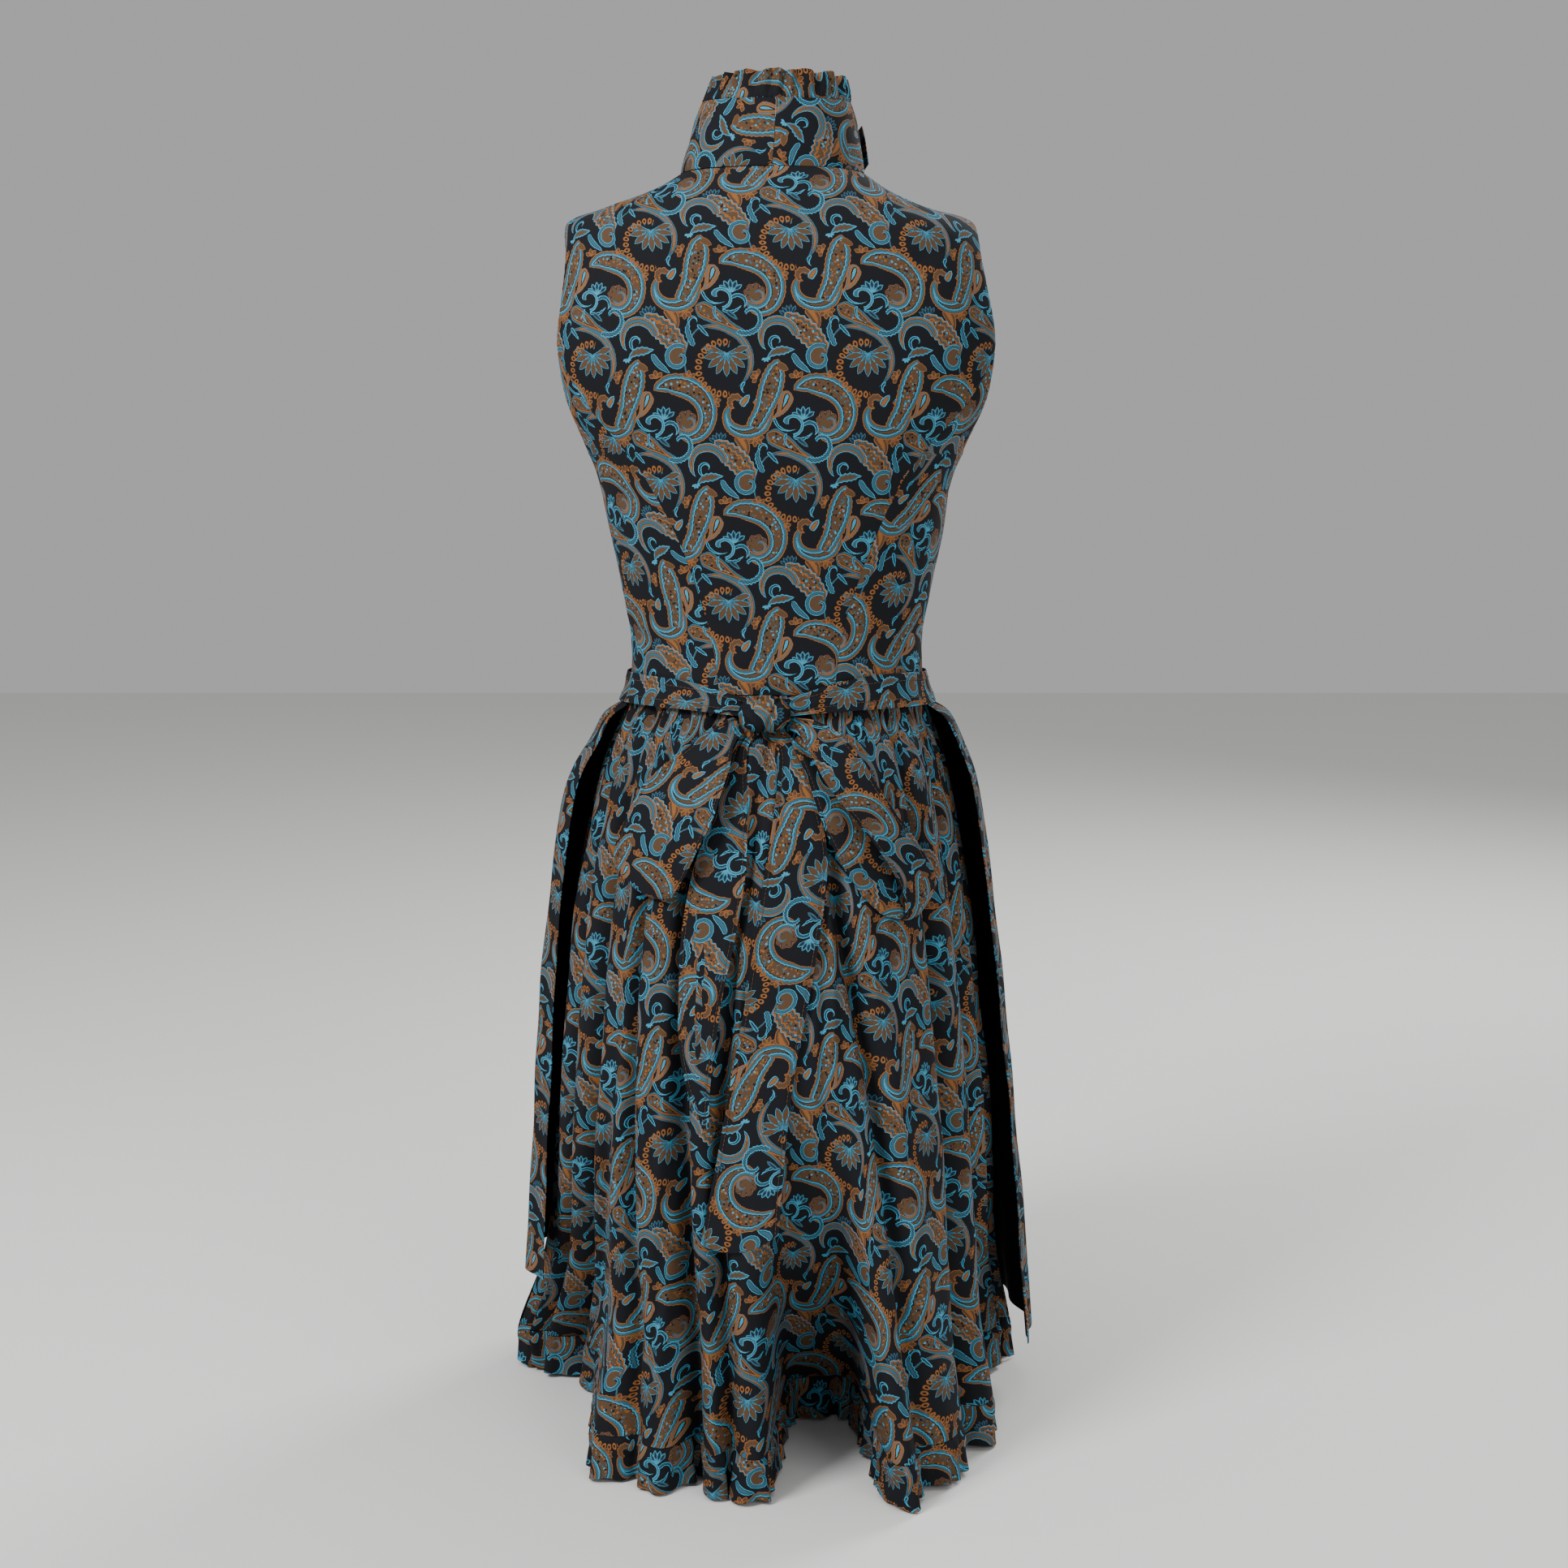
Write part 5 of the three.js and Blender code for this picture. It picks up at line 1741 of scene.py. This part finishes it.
@dataclass
class Skirt:
    """Gathered skirt in a back and a front piece, each with its hem frill."""

    material: bpy.types.Material
    frill_material: bpy.types.Material
    length: float = 575.0
    slant: float = 0.78
    column_width: float = 1.9
    look: float = 6.0

    def panel(self, name: str, first: float, last: float, columns: int, rows: int, shift: float) -> None:
        """Makes the back or the front.

        Args:
            name: Node and object name.
            first: Angle of its left edge.
            last: Angle of its right edge.
            columns: Grid columns.
            rows: Grid rows.
            shift: Where its left edge lies across the cloth, in millimetres.
        """
        angles, cloth = hem_places(first + 0.05, last - 0.05, columns)
        levels = np.concatenate([np.linspace(0, 2, rows // 5)[:-1], np.linspace(2, 8, rows - rows // 5)])
        degrees, t = np.broadcast_arrays(angles[None, :], levels[:, None])
        grid = dressed_skirt(degrees, t)
        down = -self.fall(levels)
        place = np.stack(np.broadcast_arrays((cloth + shift)[None, :], down[:, None]), axis=-1)
        hem = np.linalg.norm(np.diff(grid[-1], axis=0), axis=1).sum()
        ClothPiece(
            name, grid, place, self.material, Slot.PRINT, (float(hem), self.length),
            Hold.GATHERED, ("back_centre", "front_right"), self.slant,
            outside=-normals(grid),
        ).build()

    def fall(self, levels: Points) -> Points:
        """Gives the cloth's length from the waist at levels."""
        z, back = along(SKIRT, "z", levels), along(SKIRT, "back", levels)
        return np.concatenate([[0], np.cumsum(np.hypot(np.diff(z), np.diff(back)))]) + 300

    def frill(self, name: str, first: float, last: float, rows: int, seed: int) -> None:
        """Makes a hem frill.

        Args:
            name: Node and object name.
            first: Angle of its left end.
            last: Angle of its right end.
            rows: Grid rows.
            seed: Chooses the waves' unevenness.
        """
        dense = np.linspace(first + 0.05, last - 0.05, 5000)
        line = dressed_skirt(dense, np.full(dense.shape, LAST_LEVEL))
        length = line_lengths(line)
        count = int(length[-1] / self.column_width)
        s = np.linspace(0, length[-1], count)
        top = np.stack([np.interp(s, length, line[:, k]) for k in range(3)], axis=-1)
        ahead = np.stack([np.interp(s + self.look, length, line[:, k]) for k in range(3)], axis=-1)
        behind = np.stack([np.interp(s - self.look, length, line[:, k]) for k in range(3)], axis=-1)
        smooth = (ahead - behind) / np.linalg.norm(ahead - behind, axis=-1, keepdims=True)
        out = np.stack([smooth[:, 1], -smooth[:, 0], 0 * s], axis=-1)
        v = np.linspace(0, 1, rows)[:, None]
        wave = gathers(s, HEM_WAVE, seed)[None, :] * HEM_WAVE_REACH * v**0.85
        fine = gathers(s, 7.5, seed + 1)[None, :] * 0.9 * (1 - v) ** 1.2 * np.clip(v * 8, 0, 1)
        puff = 3.0 * v + 1.6 * np.sin(np.pi * np.clip(v * 2.2, 0, 1))
        grid = top[None] + out[None] * (wave + fine + puff)[..., None]
        grid[..., 2] = HEM - 0.5 - v * (HEM_FRILL - 1.5 - 1.8 * gathers(s, 47, seed + 2)[None, :])
        cloth = np.linalg.norm(np.diff(grid[-1], axis=0), axis=1).sum()
        place = np.stack(np.broadcast_arrays((s * cloth / s[-1])[None, :] + 17, -v * HEM_FRILL + 40), axis=-1)
        ClothPiece(
            name, grid, place, self.frill_material, Slot.PRINT, (float(cloth), HEM_FRILL),
            Hold.GATHERED, (name.replace("hem_frill", "skirt"),), outside=-normals(grid),
        ).build()

    def build(self) -> None:
        """Makes the skirt's pieces."""
        self.panel("skirt_back", -90, 90, 440, 104, 8.0)
        self.panel("skirt_front", 90, 270, 330, 74, 40.0)
        self.frill("hem_frill_back", -90, 90, 13, 31)
        self.frill("hem_frill_front", 90, 270, 11, 41)


@dataclass
class Apron:
    """Gathered apron panel, its band and the two ties."""

    material: bpy.types.Material
    length: float = 545.0
    gap: float = 0.06
    half_width: float = 13.0
    stitched_rows: tuple[int, int] = (5, 16)
    seams: list[Points] = field(default_factory=list)

    def panel(self) -> None:
        """Makes the apron's panel."""
        angles = np.linspace(APRON_EDGE, 360 - APRON_EDGE, 420)
        levels = np.concatenate([np.linspace(0, 3, 30)[:-1], np.linspace(3, 8, 62)])
        degrees, t = np.broadcast_arrays(angles[None, :], levels[:, None])
        grid = apron_point(degrees, t)
        out = np.stack([np.sin(np.radians(degrees)), -np.cos(np.radians(degrees)), 0 * degrees], axis=-1)
        drop = WAIST - grid[..., 2]
        place_on = np.radians(degrees) * 118
        fine = 0.6 + gathers(place_on, 6.8, 51)
        fine = fine * np.exp(-((drop / 40) ** 1.3)) * np.clip(drop / 10, 0.1, 1)
        soft = (0.5 + 0.5 * ripple(place_on * 1.6, drop, 80, 52)) * 2.0 * np.clip(drop / 60, 0, 1)
        grid = grid + out * (fine + soft)[..., None]
        cloth = line_lengths(grid[-1])
        down = -arc_lengths(apron_point(degrees, t), 0)
        place = np.stack([np.broadcast_to(cloth[None, :] + 61, down.shape), down], axis=-1)
        ClothPiece(
            "apron_panel", grid, place, self.material, Slot.APRON, (float(cloth[-1]), self.length),
            Hold.GATHERED, ("apron_band",), outside=-normals(grid),
        ).build()

    def strip(self, name: str, first: float, last: float, columns: int, shift: tuple[float, float]) -> None:
        """Makes a stretch of the band or a tie.

        Args:
            name: Node and object name.
            first: Angle of its left end.
            last: Angle of its right end.
            columns: Grid columns.
            shift: Its place on the cloth.
        """
        degrees, t = spread_out(first + self.gap, last - self.gap, columns, 0, 2, 22)
        grid = band_point(degrees, t)
        width = arc_lengths(grid, 1)
        n = outward(grid)
        turn = np.where(degrees > 180, degrees - 360, degrees)
        # The ties crumple lengthways where they near the knot
        near = np.exp(-(((turn - TIES_MEET) / 20) ** 2))
        pleats = np.sin(np.pi * t * 2.1 + turn * 0.06) * 1.1 * near
        edge = np.minimum(t, 2 - t) * self.half_width
        rolled = 0.5 * np.exp(-((edge / 1.6) ** 2)) + 0.28 * np.exp(-(((edge - STITCH_INSET) / 0.8) ** 2))
        soft = ripple(width, t * self.half_width, 26, 61) * 0.55
        grid = grid - n * (rolled + soft - pleats)[..., None]
        self.seams += [grid[k] + n[k] * STITCH_CLEAR for k in self.stitched_rows]
        length = width[:, -1].mean()
        place = np.stack([width + shift[0], shift[1] - t * self.half_width], axis=-1)
        ClothPiece(
            name, grid, place, self.material, Slot.APRON, (float(length), 2 * self.half_width),
            Hold.WORN, ("back_centre", "skirt_back"), doubled=True,
        ).build()

    def build(self) -> None:
        """Makes the apron's pieces."""
        self.panel()
        self.strip("apron_band", APRON_EDGE, 360 - APRON_EDGE, 240, (0.0, -30.0))
        self.strip("tie_right", TIES_MEET, APRON_EDGE, 150, (41.0, 12.0))
        self.strip("tie_left", -APRON_EDGE, TIES_MEET, 150, (-73.0, 23.0))


@dataclass(frozen=True)
class RibbonCut:
    """How a ribbon of the bow is cut and lies."""

    name: str
    rows: tuple[Across, ...]
    shift: tuple[float, float]
    hold: Hold
    lengths: int
    pinch: float
    upside_down: bool = False


RIBBONS = (
    RibbonCut("bow_tail_long", LONG_TAIL, (22.0, 70.0), Hold.HUNG, 190, 26.0, True),
    RibbonCut("bow_tail_short", SHORT_TAIL, (64.0, 30.0), Hold.HUNG, 150, 26.0, True),
    RibbonCut("bow_loop_left", LEFT_LOOP, (10.0, 25.0), Hold.FOLDED, 190, 30.0),
    RibbonCut("bow_loop_right", RIGHT_LOOP, (85.0, 66.0), Hold.FOLDED, 210, 30.0),
)


@dataclass
class Bow:
    """Knot, two loops and two tails."""

    material: bpy.types.Material
    columns: int = 34
    stitch_reach: float = 9.0
    unstitched: int = 6
    seams: list[Points] = field(default_factory=list)

    def surface(self, cut: RibbonCut, u: Points, t: Points) -> Points:
        """Gives a ribbon's dressed surface at places across and along it."""
        last = cut.rows[-1].t
        grid = ribbon_point(cut.rows, u, t)
        start = grid[:1].mean(axis=1, keepdims=True)
        away = np.linalg.norm(grid - start, axis=-1)
        loop = cut.hold is Hold.FOLDED
        strength = np.exp(-((away / cut.pinch) ** 1.3)) * (1.4 if loop else 1.0)
        pleats = np.sin(2 * np.pi * (2.1 * u + 0.15) + t * 0.3) * strength * np.clip(away / 6, 0, 1)
        edge = np.minimum(u, 1 - u) * np.linalg.norm(grid[:, -1:] - grid[:, :1], axis=-1)
        rolled = -0.6 * np.exp(-(((edge - STITCH_INSET) / 1.0) ** 2))
        soft = ripple(u * 38, t / last * 300, 46, 71 + len(cut.name)) * 0.7
        out = np.zeros(grid.shape)
        out[..., 1] = -1
        return grid + out * (np.maximum(pleats + soft + rolled, -1.2))[..., None]

    def ribbon(self, cut: RibbonCut) -> None:
        """Makes one ribbon."""
        u, t = spread_out(0, 1, self.columns, 0, cut.rows[-1].t, cut.lengths)
        grid = self.surface(cut, u, t)
        across = arc_lengths(grid, 1)
        for from_right in (False, True):
            edge = across[:, -1:] - across if from_right else across
            column_at = np.argmin(np.abs(edge - STITCH_INSET), axis=1)
            line = grid[np.arange(len(grid)), column_at]
            inset = STITCH_INSET / np.maximum(across[:, -1], 8.0)
            exact = self.surface(cut, np.where(from_right, 1 - inset, inset)[:, None], t[:, :1])[:, 0]
            near = np.abs(line - exact).max() < self.stitch_reach
            self.seams.append(np.where(near, exact, line)[self.unstitched :] - [0, STITCH_CLEAR, 0])
        across = across - across[:, -1:] / 2
        down = arc_lengths(grid, 0)[:, self.columns // 2][:, None]
        sign = -1.0 if cut.upside_down else 1.0
        u_place, v_place = sign * across + cut.shift[0], cut.shift[1] - sign * down
        place = np.stack(np.broadcast_arrays(u_place, v_place), axis=-1)
        length, width = float(down[-1, 0]), float(np.ptp(across, axis=1).mean())
        ClothPiece(
            cut.name, grid, place, self.material, Slot.APRON, (width, length), cut.hold,
            ("bow_knot", "skirt_back"), outside=-normals(grid), doubled=True,
        ).build()

    def knot(self) -> None:
        """Makes the knot: a wrap drawn in by creases."""
        seat = float(band_point(np.array(TIES_MEET), np.array(1.8))[1]) - 0.4
        around, up = 96, 60
        turn = np.linspace(0, 2 * np.pi, around, endpoint=False)
        rise = np.linspace(0, np.pi, up)[1:-1]
        a, b = np.meshgrid(turn, rise)
        # Round towards the viewer, flat and broad where it sits on the ties
        reach = np.where(b < np.pi / 2, np.minimum(1, 1.7 * np.sin(b)), np.sin(b))
        depth = np.where(b < np.pi / 2, np.abs(np.cos(b)) ** 0.45, np.cos(b))
        x, z, y = np.cos(a) * reach, np.sin(a) * reach, depth
        poles = np.array([[0.0, 0.0, 1.0], [0.0, 0.0, -1.0]])
        unit = np.concatenate([np.stack([x, z, y], -1).reshape(-1, 3), poles])
        x, z, y = unit.T
        wrap = 0.06 * (np.cos(3 * np.pi * (x + z)) - 1) * (1 - y**2)
        creases = -0.16 * np.exp(-(((x - 0.32 * z - 0.28) / 0.09) ** 2))
        creases -= 0.14 * np.exp(-(((x + 0.4 * z + 0.35) / 0.08) ** 2))
        creases -= 0.05 * np.exp(-(((x * 0.3 + z - 0.15) / 0.1) ** 2))
        creases += 0.03 * np.sin(9 * x + 4 * z)
        size = 1 + wrap + creases * (y < 0.5)
        middle = (KNOT_PLACE[0], seat - KNOT_HALF[1], KNOT_PLACE[1])
        points = np.stack([m + half * way * size for m, half, way in zip(middle, KNOT_HALF, (x, y, z))], -1)
        index = np.arange(around * (up - 2)).reshape(up - 2, around)
        after = np.roll(index, -1, axis=1)
        quads = np.stack([index[:-1], after[:-1], after[1:], index[1:]], -1).reshape(-1, 4)
        top, bottom = len(points) - 2, len(points) - 1
        faces = [tuple(q) for q in quads.tolist()]
        faces += [(top, int(j), int(i)) for i, j in zip(index[0], after[0])]
        faces += [(bottom, int(i), int(j)) for i, j in zip(index[-1], after[-1])]
        mesh = bpy.data.meshes.new("bow_knot")
        mesh.from_pydata((points * MM).tolist(), [], faces)
        mesh.materials.append(self.material)
        uv = mesh.uv_layers.new(name="print")
        corners = np.zeros(len(mesh.loops), np.int32)
        mesh.loops.foreach_get("vertex_index", corners)
        uv.data.foreach_set("uv", (points[corners][:, [2, 0]] * MM + 0.033).ravel())
        mesh.polygons.foreach_set("use_smooth", np.ones(len(mesh.polygons), bool))
        mesh.validate()
        flip_outward(mesh)
        obj = add_object("bow_knot", mesh)
        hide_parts("bow_knot")
        LOG.info("bow_knot: %d faces", len(faces))

    def build(self) -> None:
        """Makes the bow's pieces."""
        for cut in RIBBONS:
            self.ribbon(cut)
        self.knot()


def flip_outward(mesh: bpy.types.Mesh) -> None:
    """Turns a closed mesh's faces outward."""
    co = np.array([v.co for v in mesh.vertices])
    total = 0.0
    for face in mesh.polygons:
        a = co[face.vertices[0]]
        for i in range(1, len(face.vertices) - 1):
            total += float(a @ np.cross(co[face.vertices[i]], co[face.vertices[i + 1]]))
    if total < 0:
        mesh.flip_normals()


@dataclass
class Stitching:
    """Topstitching along the edges of the band, the ties, the loops and the tails."""

    seams: list[Points]
    thread: PlainFinish = THREAD
    seed: int = 5
    smallest: tuple[float, float, float] = (0.9, 0.9, 0.78)
    largest: tuple[float, float, float] = (1.1, 1.1, 1.08)

    def tree(self) -> bpy.types.NodeTree:
        """Makes the node tree that sets stitches along lines."""
        tree = bpy.data.node_groups.new("topstitching", "GeometryNodeTree")
        socket = tree.interface.new_socket
        socket("Lines", in_out="INPUT", socket_type="NodeSocketGeometry")
        for name in ("Pitch", "Length", "Radius"):
            socket(name, in_out="INPUT", socket_type="NodeSocketFloat")
        socket("Seed", in_out="INPUT", socket_type="NodeSocketInt")
        socket("Stitches", in_out="OUTPUT", socket_type="NodeSocketGeometry")
        build = NodeBuilder(tree)
        source = build.add("NodeGroupInput").outputs
        curve = build.add("GeometryNodeMeshToCurve", {0: source["Lines"]})
        spots = build.add(
            "GeometryNodeCurveToPoints", {"Curve": curve.outputs[0], "Length": source["Pitch"]}, mode="LENGTH"
        )
        stitch = build.add(
            "GeometryNodeMeshCylinder",
            {"Vertices": 5, "Radius": source["Radius"], "Depth": source["Length"]},
            fill_type="TRIANGLE_FAN",
        )
        turned = build.add(
            "FunctionNodeAlignRotationToVector", {"Vector": spots.outputs["Tangent"]}, axis="Z"
        )
        size = build.add(
            "FunctionNodeRandomValue",
            {"Min": self.smallest, "Max": self.largest, "Seed": source["Seed"]},
            data_type="FLOAT_VECTOR",
        )
        placed = build.add(
            "GeometryNodeInstanceOnPoints",
            {
                "Points": spots.outputs[0],
                "Instance": stitch.outputs[0],
                "Rotation": turned.outputs[0],
                "Scale": size.outputs[0],
            },
        )
        real = build.add("GeometryNodeRealizeInstances", {0: placed.outputs[0]})
        material = plain_material(self.thread)
        inked = build.add("GeometryNodeSetMaterial", {0: real.outputs[0], "Material": material})
        build.add("NodeGroupOutput", {0: inked.outputs[0]})
        return tree

    def build(self) -> None:
        """Makes the stitches as one plain mesh."""
        points = np.concatenate(self.seams) * MM
        ends = np.cumsum([len(line) for line in self.seams])
        edges = [(i, i + 1) for i in range(len(points) - 1) if i + 1 not in ends]
        lines = bpy.data.meshes.new("stitch_lines")
        lines.from_pydata(points.tolist(), edges, [])
        carrier = bpy.data.objects.new("stitch_lines", lines)
        bpy.context.scene.collection.objects.link(carrier)
        tree = self.tree()
        modifier = carrier.modifiers.new("topstitching", "NODES")
        modifier.node_group = tree
        lengths = {"Pitch": STITCH_PITCH, "Length": STITCH_LENGTH, "Radius": STITCH_RADIUS}
        values = {name: length * MM for name, length in lengths.items()} | {"Seed": self.seed}
        for item in tree.interface.items_tree:
            if item.name in values:
                modifier[item.identifier] = values[item.name]
        graph = bpy.context.evaluated_depsgraph_get()
        mesh = bpy.data.meshes.new_from_object(carrier.evaluated_get(graph))
        carrier.modifiers.remove(modifier)
        bpy.data.objects.remove(carrier)
        mesh.name = "topstitching"
        add_object("topstitching", mesh)
        LOG.info("topstitching: %d faces", len(mesh.polygons))


@dataclass
class Studio:
    """Camera, floor, backdrop and soft lights."""

    floor: PlainFinish = STUDIO
    daylight: float = 0.42
    floor_reach: float = 6.0
    aim: tuple[float, float, float] = (0.0, 0.0, -0.5)

    def camera(self) -> None:
        """Sets the camera at the photograph's angle."""
        data = bpy.data.cameras.new("photo_camera")
        data.lens = CAMERA_LENS
        data.sensor_width = SENSOR
        camera = bpy.data.objects.new("photo_camera", data)
        bpy.context.scene.collection.objects.link(camera)
        camera.location = Vector(CAMERA_PLACE) * MM
        look = (Vector(CAMERA_TARGET) - Vector(CAMERA_PLACE)).normalized()
        camera.rotation_euler = look.to_track_quat("-Z", "Y").to_euler()
        bpy.context.scene.camera = camera

    def light(self, name: str, place: tuple[float, float, float], size: float, power: float) -> None:
        """Adds a square soft light that faces the garment.

        Args:
            name: Object name.
            place: Its place in metres.
            size: Side length in metres.
            power: Watts.
        """
        data = bpy.data.lights.new(name, "AREA")
        data.shape, data.size, data.energy = "SQUARE", size, power
        lamp = bpy.data.objects.new(name, data)
        bpy.context.scene.collection.objects.link(lamp)
        lamp.location = place
        lamp.rotation_euler = (Vector(self.aim) - Vector(place)).to_track_quat("-Z", "Y").to_euler()

    def build(self) -> None:
        """Makes the studio."""
        self.camera()
        self.light("key_light", (-1.7, -1.5, 1.25), 0.9, 72)
        self.light("fill_light", (1.6, -2.3, 0.3), 1.2, 20)
        self.light("top_light", (0.0, -0.3, 2.0), 1.6, 16)
        self.light("rear_light", (1.7, 1.8, 1.2), 0.9, 55)
        world = bpy.data.worlds.new("studio")
        world.use_nodes = True
        sky = world.node_tree.nodes["Background"]
        sky.inputs[0].default_value = (1.0, 1.0, 1.0, 1.0)
        sky.inputs[1].default_value = self.daylight
        bpy.context.scene.world = world
        mesh = bpy.data.meshes.new("floor")
        far, z = self.floor_reach, FLOOR_Z * MM
        corners = [(-far, -far, z), (far, -far, z), (far, far, z), (-far, far, z)]
        mesh.from_pydata(corners, [], [(0, 1, 2, 3)])
        mesh.materials.append(plain_material(self.floor))
        floor = bpy.data.objects.new("floor", mesh)
        bpy.context.scene.collection.objects.link(floor)


def main() -> None:
    """Builds the garment, its sewing and the studio."""
    logging.basicConfig(level=logging.INFO, format="%(name)s: %(message)s")
    body = printed_cotton(ClothFinish("printed_paisley_cotton", print_shift=PRINT_PLACE_ON_CLOTH))
    right = printed_cotton(ClothFinish("printed_paisley_cotton_right_bias", 16.0, (30.0, 21.0)))
    left = printed_cotton(ClothFinish("printed_paisley_cotton_left_bias", -14.0, (-42.0, 34.0)))
    bow = printed_cotton(ClothFinish("printed_paisley_cotton_ties", 0.0, (0.0, 0.0)))
    Bodice(body, right, left).build()
    collar_right = printed_cotton(ClothFinish("printed_paisley_cotton_collar_right", 62.0, (66.0, -34.0)))
    collar_left = printed_cotton(ClothFinish("printed_paisley_cotton_collar_left", -104.0, (-43.0, -6.0)))
    Collar(body, collar_right, collar_left, left).build()
    Skirt(body, left).build()
    apron = Apron(bow)
    apron.build()
    ribbons = Bow(bow)
    ribbons.build()
    Stitching(apron.seams + ribbons.seams).build()
    Studio().build()


if __name__ == "__main__":
    main()
